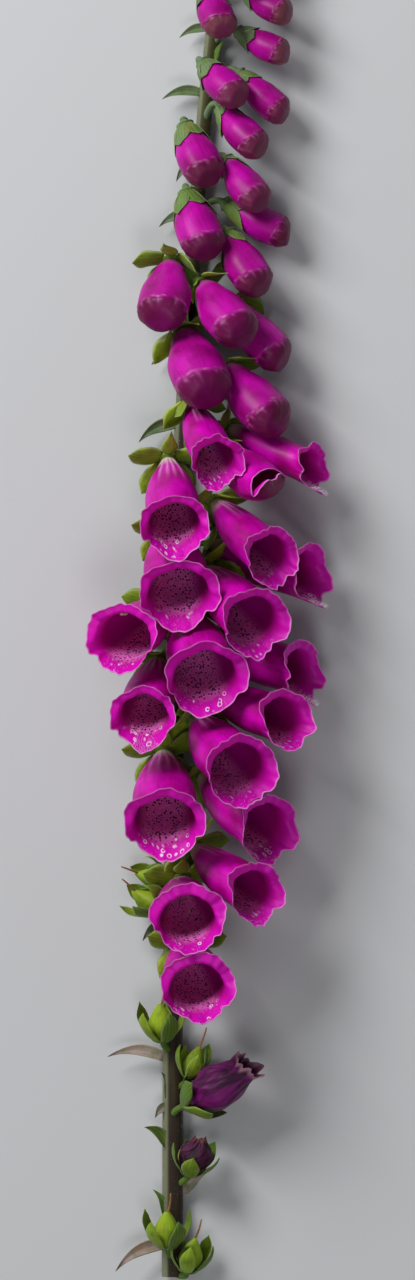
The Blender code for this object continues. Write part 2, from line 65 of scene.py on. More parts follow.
# The seat of the corolla on its stalk, in millimetres, and what sepals and stalks keep clear.
SEAT_GAP, SEAT_RIM, SEPAL_SINK, RECEPTACLE_DEPTH, PEDICEL_RADIUS = 0.35, 0.6, 0.7, 3.2, 1.3
BLADE_ROOM, PEDICEL_ROOM, SEPALS = 0.9, 2.0, 5
LOBES = ((-33, 33, 0.03), (33, 33, 0.03), (-98, 36, 0.05), (98, 36, 0.05), (180, 46, 0.08))
PEDICEL_CHOICES = [(drop, arch) for drop in (7, 5, 9, 3, 0, -3, -6) for arch in (2, 0, 4)]
SEPAL_CHOICES = [(less, size) for size in (1, 0.8, 0.6, 0.45, 0.3) for less in (0, -20, 25, -45, 45)]


class Kind(Enum):
    """What stage a flower is at."""

    BUD = "bud"
    OPENING = "opening"
    BELL = "bell"
    WILTED = "wilted"
    WITHERED = "withered"
    CAPSULE = "capsule"
    CLOSED = "closed"


# Half-widths along each flower: a share of its length, and a share of half its width.
PROFILES = {
    Kind.BELL: ((0, 0.26), (0.12, 0.47), (0.3, 0.78), (0.52, 0.97), (0.82, 1.02), (1, 1.22)),
    Kind.OPENING: ((0, 0.27), (0.12, 0.5), (0.33, 0.84), (0.6, 1.02), (0.86, 1.0), (1, 0.9)),
    Kind.BUD: ((0, 0.32), (0.12, 0.62), (0.36, 0.94), (0.62, 1.0), (0.85, 0.9), (1, 0.52)),
    Kind.WILTED: ((0, 0.36), (0.14, 0.76), (0.42, 1.0), (0.7, 0.86), (0.88, 0.7), (1, 0.86)),
    Kind.WITHERED: ((0, 0.5), (0.3, 0.9), (0.6, 1.0), (1, 0.8)),
    Kind.CAPSULE: ((-0.12, 0.5), (0.1, 0.8), (0.4, 1.0), (0.75, 0.62), (1, 0.18)),
    Kind.CLOSED: ((-0.12, 0.3), (0.1, 0.7), (0.4, 1.0), (0.75, 0.7), (1, 0.3)),
}
# Sepals: length as a share of the corolla's, width in mm, lower and upper spread in degrees.
CALYXES = {
    Kind.BELL: (0.3, 8.5, 72, 80),
    Kind.OPENING: (0.33, 8.0, 60, 60),
    Kind.BUD: (0.42, 7.5, 42, 10),
    Kind.WILTED: (0.42, 8.0, 50, 30),
    Kind.WITHERED: (0.8, 7.5, 40, 15),
    Kind.CAPSULE: (1.05, 8.5, 36, 2),
}
LEAFY_CALYX = (0.36, 9.0, 70, 66)
# How grey or yellow a calyx is, where 0.1 is fresh.
AGES = {Kind.WILTED: 0.18, Kind.WITHERED: 0.17, Kind.CAPSULE: 0.13, Kind.CLOSED: 0.1}


@dataclass(frozen=True)
class Flower:
    """One flower's listed place and size: mm, and degrees of turn and droop."""

    kind: Kind
    height: float
    side: float
    rise: float
    turn: float
    droop: float
    length: float
    width: float


BUDS, BELL = Kind.BUD, Kind.BELL
FLOWERS = [
    Flower(*row)
    for row in (
        (BUDS, 260, -4, 13, 25, 47, 22, 15), (BUDS, 261, 11, 10, 65, 28, 22, 14),
        (BUDS, 244, 11, 9, 70, 24, 22, 14), (BUDS, 231, -2, 13, 48, 38, 24, 16),
        (BUDS, 227, 13, 9, 74, 41, 25, 15), (BUDS, 213, 7, 12, 55, 42, 25, 16),
        (BUDS, 206, -7, 14, 36, 53, 27, 18), (BUDS, 192, 11, 12, 53, 52, 26, 16),
        (BUDS, 179, -4, 15, 30, 56, 29, 19), (BUDS, 175, 12, 9, 76, 30, 28, 16),
        (BUDS, 163, 14, 13, 49, 52, 28, 18), (BUDS, 151, -8, 15, -8, 48, 32, 21),
        (BUDS, 142, 5, 17, 48, 52, 33, 21), (BUDS, 135, 17, 10, 56, 47, 32, 19),
        (BUDS, 124, -1, 17, 30, 45, 36, 24), (BUDS, 109, 17, 13, 54, 46, 35, 22),
        (BELL, 95, 3, 18, 32, 46, 38, 18), (BELL, 85, 18, 10, 75, 28, 40, 16),
        (Kind.OPENING, 78, 15, 13, 46, 29, 38, 20), (BELL, 71, -5, 21, 8, 47, 45, 22),
        (BELL, 55, 14, 17, 48, 38, 43, 20), (BELL, 38, 13, 10, 80, 18, 44, 22),
        (BELL, 44, -4, 17, 1, 44, 42, 26), (BELL, 28, 12, 18, 34, 35, 42, 24),
        (BELL, 14, -5, 11, -19, 15, 42, 24), (BELL, 11, 5, 18, 13, 41, 42, 27),
        (BELL, -1, 15, 11, 80, 20, 40, 22), (BELL, -8, -7, 14, -8, 33, 44, 21),
        (BELL, -21, 14, 13, 56, 18, 43, 21), (BELL, -31, 9, 17, 34, 32, 44, 25),
        (BELL, -46, -4, 17, 1, 40, 45, 26), (BELL, -54, 11, 12, 60, 34, 42, 24),
        (BELL, -84, 8, 16, 46, 30, 42, 21), (BELL, -97, 4, 16, 9, 23, 41, 24),
        (BELL, -122, 5, 15, 8, 23, 42, 24), (Kind.WILTED, -186, 6, 12, 68, -30, 31, 18),
        (Kind.WITHERED, -213, 7, 11, 30, -58, 16, 13),
    )
]
CAPSULES = [
    Flower(Kind.CAPSULE, *row)
    for row in (
        (-107, -6, 14, -60, -30, 13, 10), (-96, -4, 9, -65, -12, 12, 9),
        (-159, -4, 12, -12, -66, 14, 11), (-174, 7, 10, 40, -64, 12, 9),
        (-242, -2, 13, -5, -64, 14, 11), (-252, 6, 10, 30, -66, 13, 10),
    )
]
# The buds at the tip: how many, how many of them shut, where they start, the degrees from one to
# the next, how far they fan out, and the length of the first and how much of it the last lacks.
TIP_BUDS, TIP_CLOSED, TIP_START, SPIRAL, TIP_FAN, TIP_LENGTH, TIP_LESS = 14, 7, 271.0, 137.5, 72.0, 20, 14


@dataclass(frozen=True)
class Bract:
    """A small leaf below a flower: its place on the stalk, lift, size and age (1 is dry)."""

    height: float
    turn: float
    lift: float
    length: float
    width: float
    age: float = 0.3


BRACTS = [
    Bract(*row)
    for row in (
        (246, -75, -17, 13, 3.5, 0.45), (220, -75, -8, 17, 4, 0.45), (232, 40, 53, 11, 3.5, 0.3),
        (192, -80, -45, 11, 3.5, 0.5), (171, -80, -20, 14, 4, 0.5), (117, -80, -27, 14, 4, 0.5),
        (87, -75, -24, 18, 5, 0.5), (-114, -75, -35, 12, 4, 0.55), (-168, -80, 3, 24, 4.5, 0.9),
        (-184, -50, 78, 11, 4, 0.5), (-187, -60, -45, 7, 3.5, 0.75), (-203, -50, 35, 14, 5, 0.3),
        (-222, 85, 38, 16, 6, 0.9), (-232, -60, 65, 13, 4, 0.3), (-243, -70, -25, 24, 5, 0.9),
    )
]
BRACTLESS = slice(11, 35, 2)

# By height: how far a bell's lower lip hangs as a tongue, in mm, how many white rings it has, and
# how much further than usual its upper lip turns back.
TONGUES = {85: 3.0, 38: 3.0, -1: 2.5, -8: 3.0}
RINGED = {-8: 1.0, -46: 0.7, -54: 1.0, 71: 0.3, -122: 0.6, 11: 0.35}
FLARED = {-97: 1.55, -122: 1.55, -46: 1.25, 11: 1.15, 44: 1.15}
LEAFY_BUD = 30.5


def linear(colour: str) -> tuple[float, float, float, float]:
    """Turns an sRGB hex colour into linear values.

    Args:
        colour: The colour as "#rrggbb".

    Returns:
        Linear red, green, blue and an alpha of 1.
    """
    parts = [int(colour[i : i + 2], 16) / 255 for i in (1, 3, 5)]
    return (*(v / 12.92 if v <= 0.04045 else ((v + 0.055) / 1.055) ** 2.4 for v in parts), 1.0)


def unit(vectors: Array) -> Array:
    """The vector or rows of vectors at length 1."""
    return vectors / np.maximum(np.linalg.norm(vectors, axis=-1, keepdims=True), 1e-12)


def smooth_value(keys: tuple, at: float) -> float:
    """Reads a smooth curve through rising keys.

    Args:
        keys: Pairs of place and value.
        at: The place to read.

    Returns:
        The value there.
    """
    places, values, last = [p for p, _ in keys], [v for _, v in keys], len(keys) - 1
    i = max(0, min(last - 1, sum(place <= at for place in places) - 1))
    span = places[i + 1] - places[i]
    t = min(1.0, max(0.0, (at - places[i]) / span))

    def slope(j: int) -> float:
        """The curve's slope at a key."""
        low, high = max(0, j - 1), min(last, j + 1)
        return (values[high] - values[low]) / (places[high] - places[low])

    bends = slope(i) * (t**3 - 2 * t**2 + t) + slope(i + 1) * (t**3 - t**2)
    return values[i] + (values[i + 1] - values[i]) * (3 * t**2 - 2 * t**3) + span * bends


def ease(low: float, high: float, at: Array) -> Array:
    """A smooth step from 0 at low to 1 at high."""
    t = np.clip((np.asarray(at, float) - low) / (high - low), 0, 1)
    return t * t * (3 - 2 * t)


def bump(middle: float, width: float, at: Array) -> Array:
    """A soft bump of height 1 round a middle."""
    return np.exp(-(((np.asarray(at, float) - middle) / width) ** 2))


def stalk_side(height: Array) -> Array:
    """How far the stalk's axis has leaned to the right at a height, in mm."""
    climb = np.maximum(0.0, height - LEAN_FROM) / LEAN_OVER
    return LEAN * climb**LEAN_POWER - LEAN * (-LEAN_FROM / LEAN_OVER) ** LEAN_POWER


def stalk_radius(height: Array) -> Array:
    """The stalk's radius at a height, in mm."""
    return np.interp(height, (FOOT, NECK, TIP), (FOOT_RADIUS, NECK_RADIUS, TIP_RADIUS))


def stalk_centres(heights: Array) -> Array:
    """Finds the stalk's axis.

    Args:
        heights: Heights along the spike, in mm.

    Returns:
        The axis there, as rows in mm.
    """
    heights = np.atleast_1d(np.asarray(heights, float))
    rise = stalk_radius(heights) * math.cos(math.pi / STALK_SIDES)
    return np.stack([stalk_side(heights), heights, rise], axis=1)


def around(turn: float) -> Array:
    """The direction square to the stalk at a turn to the right from facing up."""
    return np.array([math.sin(math.radians(turn)), 0.0, math.cos(math.radians(turn))])


def lobes(degrees: Array) -> Array:
    """Finds how far the rim's lobes reach.

    Args:
        degrees: Angles round from the upper lip.

    Returns:
        The reach there, as a share of the corolla's length.
    """
    degrees = np.asarray(degrees, float)
    reach = np.zeros_like(degrees)
    for middle, half_width, most in LOBES:
        apart = np.abs((degrees - middle + 180) % 360 - 180)
        reach += np.where(apart < half_width, most * np.cos(np.pi / 2 * apart / half_width) ** 2, 0)
    return reach


def tube(shares: Array, columns: int) -> tuple[Array, Array]:
    """Spreads rings of points round a tube.

    Args:
        shares: The share of the length at each ring.
        columns: Points a ring.

    Returns:
        Each point's share of the length, and its angle from the upper lip, in degrees.
    """
    degrees = np.linspace(-180, 180, columns, endpoint=False)
    return shares[:, None] * np.ones(columns), degrees * np.ones((len(shares), 1))


def two_sided(out: Array, back: Array | None = None) -> Array:
    """Rings of a wall's outside, and then those of its lining from the rim back."""
    return np.concatenate([out, (out if back is None else back)[::-1]])


class Bloom:
    """One flower in place: where its base is, the way it points and its plain outline."""

    def __init__(self, flower: Flower) -> None:
        """Sets the flower at its listed place.

        Args:
            flower: What the list says of it.
        """
        self.flower = flower
        turn, droop = math.radians(flower.turn), math.radians(flower.droop)
        self.base = np.array([float(stalk_side(flower.height)) + flower.side, flower.height, flower.rise])
        out = math.cos(droop)
        self.axis = np.array([math.sin(turn) * out, -math.sin(droop), math.cos(turn) * out])
        self.listed = self.base.copy(), self.axis.copy()
        self.profile = PROFILES[flower.kind]
        mouthed = flower.kind in (Kind.BELL, Kind.OPENING)
        self.bow = (BOW + SIDE_BOW * abs(math.sin(turn))) * flower.length * mouthed
        self.shares = np.linspace(self.profile[0][0], 1, 240)
        self.halves = np.array([smooth_value(self.profile, s) for s in self.shares])

    def frame(self) -> Array:
        """The sideways, upper and lengthways directions, as rows."""
        upper = unit(np.array([0.0, 1.0, 0.0]) - self.axis * self.axis[1])
        return np.array([np.cross(upper, self.axis), upper, self.axis])

    def place(self, local: Array) -> Array:
        """Points of the flower's own frame, in the row's."""
        return self.base + np.asarray(local) @ self.frame()

    def half(self, share: Array) -> Array:
        """The half-width at these shares of the length, in mm."""
        return np.interp(share, self.shares, self.halves) * self.flower.width / 2

    def half_width(self, share: float) -> float:
        """The half-width at one share of the length, in mm."""
        return smooth_value(self.profile, share) * self.flower.width / 2

    def core(self, share: Array) -> Array:
        """Finds the middle of the tube.

        Args:
            share: Shares of the length.

        Returns:
            The middle there, in the flower's own frame, in mm.
        """
        share = np.asarray(share, float)
        inside = np.clip(share, 0, 1)
        side, upper = self.frame()[:2, 2] * self.bow
        sag = BELLY_SAG * self.flower.width / 2 * np.sin(np.pi * inside)
        return np.stack([side * inside**2, upper * inside**2 - sag, share * self.flower.length], -1)

    def skin(self, degrees: Array, share: Array, wider: Array = 0.0, longer: Array = 0.0) -> Array:
        """Points on the outside.

        Args:
            degrees: Angles round from the upper lip.
            share: Shares of the length, of the same shape.
            wider: Millimetres added to the half-width.
            longer: Millimetres added along the flower.

        Returns:
            The points, in the flower's own frame, in mm.
        """
        angle = np.radians(degrees)
        half = self.half(share) + wider
        x, y = half * np.sin(angle), half * np.cos(angle) * FLATNESS
        along = -MOUTH_SLANT * np.cos(angle) * share**3 * self.flower.length + longer
        lean = self.frame()[:2, 2] * self.bow * 2 / self.flower.length
        return self.core(share) + np.stack([x, y, along - (x * lean[0] + y * lean[1]) * share], -1)

    def balls(self) -> Array:
        """Fills the corolla with balls, for the jostling.

        Returns:
            Rows of centre and radius, in the flower's own frame, in mm.
        """
        rows = [(*self.core(share), self.half_width(share) * BALL_FILL) for share in BALL_SHARES]
        if self.flower.kind is not Kind.BUD:
            degrees = np.arange(0.0, 360.0, 30.0)
            rim = self.skin(degrees, np.ones(12), 0, lobes(degrees) * self.flower.length * self.lobed)
            rows += [(*point, RIM_ROOM) for point in rim]
        return np.array(rows)

    @property
    def lobed(self) -> bool:
        """Whether the corolla ends in spread lobes."""
        return self.flower.kind in (Kind.BELL, Kind.OPENING, Kind.WILTED)

    def fullness(self, share: Array) -> Array:
        """Finds how much fuller a bud is than its solid.

        Args:
            share: Shares of the length.

        Returns:
            What the half-width gains there, in mm, less than nothing at the bud's waist.
        """
        if self.flower.kind is not Kind.BUD:
            return 0 * np.asarray(share, float)
        return self.flower.width * (0.045 * bump(0.93, 0.1, share) - 0.055 * bump(0.27, 0.17, share))

    def room(self, point: Array) -> float:
        """Finds how far a point is from the outside of the corolla.

        Args:
            point: The point, in mm.

        Returns:
            The distance in mm, less than nothing inside.
        """
        local = self.frame() @ (point - self.base)
        share = local[2] / self.flower.length
        beyond = max(-local[2], (share - 1.1) * self.flower.length)
        x, y, _ = local - self.core(share)
        return max(beyond, math.hypot(x, y / FLATNESS) - self.half_width(share))


def jostle(blooms: list[Bloom], rounds: int = 90) -> None:
    """Lets neighbouring flowers push each other aside until each is clear.

    Args:
        blooms: The flowers, changed in place.
        rounds: How many times they push.
    """
    local = [bloom.balls() for bloom in blooms]
    owner = np.repeat(np.arange(len(blooms)), [len(rows) for rows in local])
    radius = np.concatenate([rows[:, 3] for rows in local])
    lever = np.concatenate([rows[:, 2] for rows in local])
    strangers = owner[:, None] != owner[None]
    for turn in range(rounds):
        centre = np.concatenate([b.place(rows[:, :3]) for b, rows in zip(blooms, local)])
        apart = centre[:, None] - centre[None]
        distance = np.linalg.norm(apart, axis=2) + 1e-9
        depth = np.clip(radius[:, None] + radius[None] + ELBOW_ROOM - distance, 0, None) * strangers
        push = (apart / distance[..., None] * depth[..., None]).sum(1) / 2
        push[:, 2] += np.clip(radius + TABLE_ROOM - centre[:, 2], 0, None)
        away = (centre - stalk_centres(centre[:, 1])) * (1, 0, 1)
        gap = radius + stalk_radius(centre[:, 1]) + ELBOW_ROOM - np.linalg.norm(away, axis=1)
        gap = np.where(lever < LEVER, 0, np.clip(gap, 0, None))
        push += away / np.linalg.norm(away, axis=1)[:, None] * gap[:, None]
        relax = HOMING * (1 - turn / rounds)
        for i, bloom in enumerate(blooms):
            mine = owner == i
            swing = (push[mine] * lever[mine, None]).sum(0) / (lever[mine] ** 2).sum() * 2
            home_base, home_axis = bloom.listed
            bloom.axis = unit(bloom.axis + swing * SWING + (home_axis - bloom.axis) * relax)
            bloom.base = bloom.base + push[mine].mean(0) * SLIDE
            bloom.base = bloom.base + (home_base - bloom.base) * relax


def tip_flowers() -> list[Flower]:
    """Lists the buds that close the spike's tip, smaller and tighter as they go up.

    Returns:
        The buds, from the lowest up.
    """
    found = []
    for i in range(TIP_BUDS):
        share = i / (TIP_BUDS - 1)
        height = TIP_START + (TIP - TIP_START) * (1 - (1 - share) ** 1.25)
        turn = 25 + TIP_FAN * math.sin(math.radians(SPIRAL * i))
        length = TIP_LENGTH - TIP_LESS * share
        out = around(turn) * (4 + 5 * (1 - share))
        rise = stalk_radius(height) + max(0.36 * length, out[2])
        kind = Kind.CLOSED if i >= TIP_BUDS - TIP_CLOSED else Kind.BUD
        found.append(Flower(kind, height, out[0], rise, turn, 22 - 62 * share, length, length * 0.62))
    return found


def clear(points: list, blooms: list[Bloom], but: Bloom | None = None, room: float = BLADE_ROOM) -> bool:
    """Tests whether lines through points keep off the surface and other corollas.

    Args:
        points: The points, in mm.
        blooms: The flowers to keep off.
        but: A flower that doesn't count.
        room: The least distance to keep, in mm.

    Returns:
        True if they do.
    """
    if min(point[2] for point in points) < TABLE_ROOM:
        return False
    near = [b for b in blooms if b is not but and np.linalg.norm(b.base - points[0]) < 75]
    between = [a + (b - a) * t for a, b in zip(points, points[1:]) for t in (0, 0.33, 0.67)]
    return all(b.room(point) > room for b in near for point in between + [points[-1]])


# Slanted ways that no path or hair here runs along, how a hair bends, and how thick it is from
# root to tip.
ANY_WAY, HAIR_SIDE, HAIR_BEND = (0.31, 0.57, 0.76), (0.2, 0.5, 0.84), 0.22
HAIR_TAPER = ((0.0, 1.0), (0.55, 0.7), (1.0, 0.12))


@dataclass
class Sketch:
    """Gathers skins, with what their finishes read, and makes one object of them."""

    name: str
    points: list = field(default_factory=list)
    faces: list = field(default_factory=list)
    slots: list = field(default_factory=list)
    coords: list = field(default_factory=list)
    places: list = field(default_factory=list)
    pales: list = field(default_factory=list)
    count: int = 0

    def loft(
        self, points: Array, coords: Array, place: tuple, pale: Array = 0.0, slot: Array = 0,
        ends: tuple = (True, True), loop: bool = False,
    ) -> None:
        """Adds a skin between rings of points.

        Args:
            points: Rings by columns by 3, in mm.
            coords: A point in mm on the unrolled piece for each, for its pattern.
            place: Share along, place across and age, each a number or an array.
            pale: How pale the finish is there, 0 to 1.
            slot: Material index, one or one a ring.
            ends: Whether the first and the last ring are closed with a face.
            loop: Whether the last ring joins the first.
        """
        rings, columns = points.shape[:2]
        grid = self.count + np.arange(rings * columns).reshape(rings, columns)
        after = np.roll(grid, -1, axis=1)
        upper = np.roll(grid, -1, axis=0) if loop else grid[1:]
        over = np.roll(after, -1, axis=0) if loop else after[1:]
        low, low_next = (grid, after) if loop else (grid[:-1], after[:-1])
        quads = np.stack([low, upper, over, low_next], -1)
        kinds = np.broadcast_to(np.asarray(slot), (rings,))[: len(quads)]
        self.faces += quads.reshape(-1, 4).tolist()
        self.slots += np.repeat(kinds, columns).tolist()
        for closed, face, kind in zip(ends, (grid[0], grid[-1][::-1]), (kinds[0], kinds[-1])):
            if closed and not loop:
                self.faces.append(face.tolist())
                self.slots.append(int(kind))
        self.points.append(points.reshape(-1, 3))
        self.coords.append(np.broadcast_to(coords, points.shape).reshape(-1, 3))
        places = [np.broadcast_to(np.asarray(p, float), (rings, columns)) for p in place]
        self.places.append(np.stack(places, -1).reshape(-1, 3))
        self.pales.append(np.broadcast_to(np.asarray(pale, float), (rings, columns)).reshape(-1))
        self.count += rings * columns

    def sweep(
        self, path: Array, radii: Array, sides: int = 10, place: tuple = (0.5, 0.0, 0.0),
        pale: Array = 0.0, slot: int = 0,
    ) -> None:
        """Adds a round rod along a smooth path.

        Args:
            path: The path's points, in mm.
            radii: The radius at each.
            sides: Sides of the rod.
            place: As in loft.
            pale: As in loft.
            slot: Material index.
        """
        path, radii = np.asarray(path, float), np.asarray(radii, float)
        course = unit(np.gradient(path, axis=0))
        first = unit(np.cross(course[0], ANY_WAY))
        angle = np.linspace(0, 2 * np.pi, sides, endpoint=False)
        round_cos, round_sin = np.cos(angle)[:, None], np.sin(angle)[:, None]
        rings = []
        for point, along, radius in zip(path, course, radii):
            first = unit(first - along * first.dot(along))
            second = np.cross(first, along)
            rings.append(point + (first * round_cos + second * round_sin) * radius)
        run = np.concatenate([[0], np.cumsum(np.linalg.norm(np.diff(path, axis=0), axis=1))])
        coords = np.stack(np.broadcast_arrays(np.sin(angle) * 2, np.cos(angle) * 2, run[:, None]), -1)
        self.loft(np.array(rings), coords, place, pale, slot)

    def hairs(self, roots: Array, ways: Array, lengths: Array, radius: float, slot: int) -> None:
        """Adds thin bent hairs.

        Args:
            roots: Their roots, in mm.
            ways: The way each grows.
            lengths: Their lengths.
            radius: Their radius at the root.
            slot: Material index.
        """
        ways = unit(ways)
        side = unit(np.cross(ways, HAIR_SIDE))
        other = np.cross(side, ways)
        bend = side * HAIR_BEND
        for share, thick in HAIR_TAPER:
            spine = roots + (ways * share + bend * share**2) * lengths[:, None]
            for turn in (0, 120, 240):
                angle = math.radians(turn)
                spot = spine + (side * math.cos(angle) + other * math.sin(angle)) * radius * thick
                self.points.append(spot)
                self.coords.append(spot)
                self.places.append(np.full((len(roots), 3), share))
                self.pales.append(np.ones(len(roots)))
        n, start = len(roots), self.count
        for ring in range(2):
            for i in range(3):
                a, b = ring * 3 + i, ring * 3 + (i + 1) % 3
                index = start + np.arange(n)
                quad = np.stack([index + a * n, index + (a + 3) * n, index + (b + 3) * n, index + b * n], -1)
                self.faces += quad.tolist()
                self.slots += [slot] * n
        self.count += 9 * n

    def build(self, finishes: list, replaced: str | None, record_slot: str) -> bpy.types.Object:
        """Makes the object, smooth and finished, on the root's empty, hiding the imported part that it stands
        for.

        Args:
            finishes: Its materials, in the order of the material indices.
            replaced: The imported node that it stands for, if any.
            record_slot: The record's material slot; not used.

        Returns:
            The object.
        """
        mesh = bpy.data.meshes.new(self.name)
        mesh.from_pydata((np.concatenate(self.points) * MM).tolist(), [], self.faces)
        for label, kind, values in (
            ("coords", "FLOAT_VECTOR", self.coords),
            ("place", "FLOAT_VECTOR", self.places),
            ("pale", "FLOAT", self.pales),
        ):
            key = "value" if kind == "FLOAT" else "vector"
            flat = np.concatenate(values).astype(np.float32).reshape(-1)
            mesh.attributes.new(label, kind, "POINT").data.foreach_set(key, flat)
        for finish in finishes:
            mesh.materials.append(finish)
        mesh.polygons.foreach_set("material_index", self.slots)
        mesh.polygons.foreach_set("use_smooth", [True] * len(mesh.polygons))
        mesh.update()
        made = bpy.data.objects.new(self.name, mesh)
        bpy.context.scene.collection.objects.link(made)
        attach(made, "root")
        if replaced:
            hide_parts(replaced)
        LOG.info("%s: %d faces", self.name, len(mesh.polygons))
        return made


# Settings that several nodes share.
COLOUR, SOFT, TIMES = {"data_type": "RGBA"}, {"interpolation_type": "SMOOTHSTEP"}, {"operation": "MULTIPLY"}


def span(low: float, high: float, least: float = 0.0, most: float = 1.0) -> dict:
    """The values with which a range node turns low to high into least to most."""
    return {"From Min": low, "From Max": high, "To Min": least, "To Max": most}


def add_node(
    tree: bpy.types.NodeTree, kind: str, settings: dict | None = None, values: dict | None = None,
    links: dict | None = None,
) -> bpy.types.NodeSocket:
    """Adds a shader node.

    Args:
        tree: The node tree.
        kind: The node's type, without its ShaderNode prefix.
        settings: Its properties; "stops" are a colour ramp's places and hex colours.
        values: Values for its inputs.
        links: Outputs to link to its inputs.

    Returns:
        Its first output, or a mix's colour. The others are reached through the output's node.
    """
    node = tree.nodes.new("ShaderNode" + kind)
    for name, value in (settings or {}).items():
        if name == "stops":
            stops = node.color_ramp.elements
            while len(stops) < len(value):
                stops.new(1.0)
            for stop, (place, colour) in zip(stops, value):
                stop.position, stop.color = place, linear(colour)
        else:
            setattr(node, name, value)
    for socket, value in (values or {}).items():
        node.inputs[socket].default_value = value
    for socket, source in (links or {}).items():
        tree.links.new(source, node.inputs[socket])
    return node.outputs[2 if kind == "Mix" else 0]


@dataclass(frozen=True)
class Canvas:
    """What a finish paints by: its tree, and the outputs that say where a point lies."""

    tree: bpy.types.NodeTree
    coords: bpy.types.NodeSocket
    along: bpy.types.NodeSocket
    across: bpy.types.NodeSocket
    age: bpy.types.NodeSocket
    pale: bpy.types.NodeSocket


@dataclass(frozen=True)
class Finish:
    """What every grown surface here shares: a soft satin skin with fine cells.

    Coordinates are in millimetres, so a pattern's scale is how often it comes in a millimetre.
    """

    name: str
    roughness: float = 0.5
    sheen: float = 0.15
    scatter: float = 0.12
    # Leaf and petal cells are far under a tenth of a millimetre, so they are drawn coarser, at 0.45.
    cell_scale: float = 2.2
    cell_height: float = 0.0004
    relief: float = 0.12
    shine: float = 0.38
    # Watery tissue bends light a little more than water does, and light goes about 1 mm into it.
    ior: float = 1.38
    depth: float = 0.0012
    depth_by_colour: tuple = (1.0, 0.4, 0.6)
    sheen_roughness: float = 0.4

    def material(self) -> bpy.types.Material:
        """Makes the material: the shared skin, and the layers of colour that paint() gives.

        Returns:
            The material.
        """
        made = bpy.data.materials.new(self.name)
        made.use_nodes = True
        tree = made.node_tree
        shader = tree.nodes["Principled BSDF"]
        for socket, value in (
            ("Roughness", self.roughness), ("Sheen Weight", self.sheen), ("IOR", self.ior),
            ("Sheen Roughness", self.sheen_roughness), ("Specular IOR Level", self.shine),
            ("Subsurface Weight", self.scatter), ("Subsurface Radius", self.depth_by_colour),
            ("Subsurface Scale", self.depth),
        ):
            shader.inputs[socket].default_value = value
        coords, spread, pale = (
            add_node(tree, "Attribute", {"attribute_name": label}).node.outputs[output]
            for label, output in (("coords", "Vector"), ("place", "Vector"), ("pale", "Fac"))
        )
        place = add_node(tree, "SeparateXYZ", links={0: spread}).node.outputs
        cells = add_node(
            tree, "TexNoise", values={"Scale": self.cell_scale, "Detail": 3.0}, links={"Vector": coords}
        )
        relief = add_node(
            tree, "Bump", values={"Strength": self.relief, "Distance": self.cell_height},
            links={"Height": cells},
        )
        tree.links.new(relief, shader.inputs["Normal"])
        ground, layers = self.paint(Canvas(tree, coords, *place, pale))
        for colour, amount in layers:
            flat = isinstance(colour, str)
            values = {7: linear(colour)} if flat else {}
            links = {0: amount, 6: ground} if flat else {0: amount, 6: ground, 7: colour}
            ground = add_node(tree, "Mix", COLOUR, values, links)
        tree.links.new(ground, shader.inputs["Base Color"])
        return made

    def paint(self, canvas: Canvas) -> tuple[bpy.types.NodeSocket, list]:
        """Gives the colours, by each finish's own way.

        Args:
            canvas: What it paints by.

        Returns:
            The ground colour, and the layers over it, each a colour and how much of it shows.
        """
        raise NotImplementedError


@dataclass(frozen=True)
class PetalOutside(Finish):
    """Living petal from outside: satin magenta, fine lengthways veins, pale neck and rim."""

    bright: str = "#d600b6"
    deep: str = "#9c0070"
    vein: str = "#7c0058"
    neck: str = "#dccfb8"
    edge: str = "#e592d4"
    # A dark purple for a bud's dull folded end, which on the larger buds is also painted shade.
    old: str = "#4e0424"
    older: str = "#76304a"
    oldest: str = "#6e5632"

    def paint(self, canvas: Canvas) -> tuple[bpy.types.NodeSocket, list]:
        """Lays veins, age's dullness with painted shade at a bud's end, the pale neck and the pale rim over
        clouded magenta.

        Args:
            canvas: What it paints by.

        Returns:
            The ground colour, and the layers over it, each a colour and how much of it shows.
        """
        tree, coords = canvas.tree, canvas.coords
        # The colour clouds over about 11 mm.
        cloud = add_node(tree, "TexNoise", values={"Scale": 0.09, "Detail": 3.0}, links={"Vector": coords})
        ground = add_node(
            tree, "ValToRGB", {"stops": [(0.35, self.bright), (0.7, self.deep)]}, links={0: cloud}
        )
        # Veins run lengthways about 1 mm apart.
        long = add_node(tree, "Mapping", values={"Scale": (1.0, 1.0, 0.1)}, links={"Vector": coords})
        lines = add_node(tree, "TexNoise", values={"Scale": 0.9, "Detail": 2.0}, links={"Vector": long})
        veined = add_node(tree, "MapRange", values=span(0.5, 0.72, 0.0, 0.4), links={"Value": lines})
        # The dullness of age, with painted shade on the larger buds' folded end.
        dulled_and_shaded = add_node(
            tree, "ValToRGB", {"stops": [(0.5, self.old), (0.78, self.older), (1.0, self.oldest)]},
            links={0: canvas.age},
        )
        dulled_and_shaded_amount = add_node(tree, "MapRange", values=span(0.0, 0.6, 0.0, 0.9), links={"Value": canvas.age})
        necked = add_node(tree, "MapRange", SOFT, span(0.04, 0.19, 0.95, 0.0), {"Value": canvas.along})
        layers = [(self.vein, veined), (dulled_and_shaded, dulled_and_shaded_amount), (self.neck, necked), (self.edge, canvas.pale)]
        return ground, layers


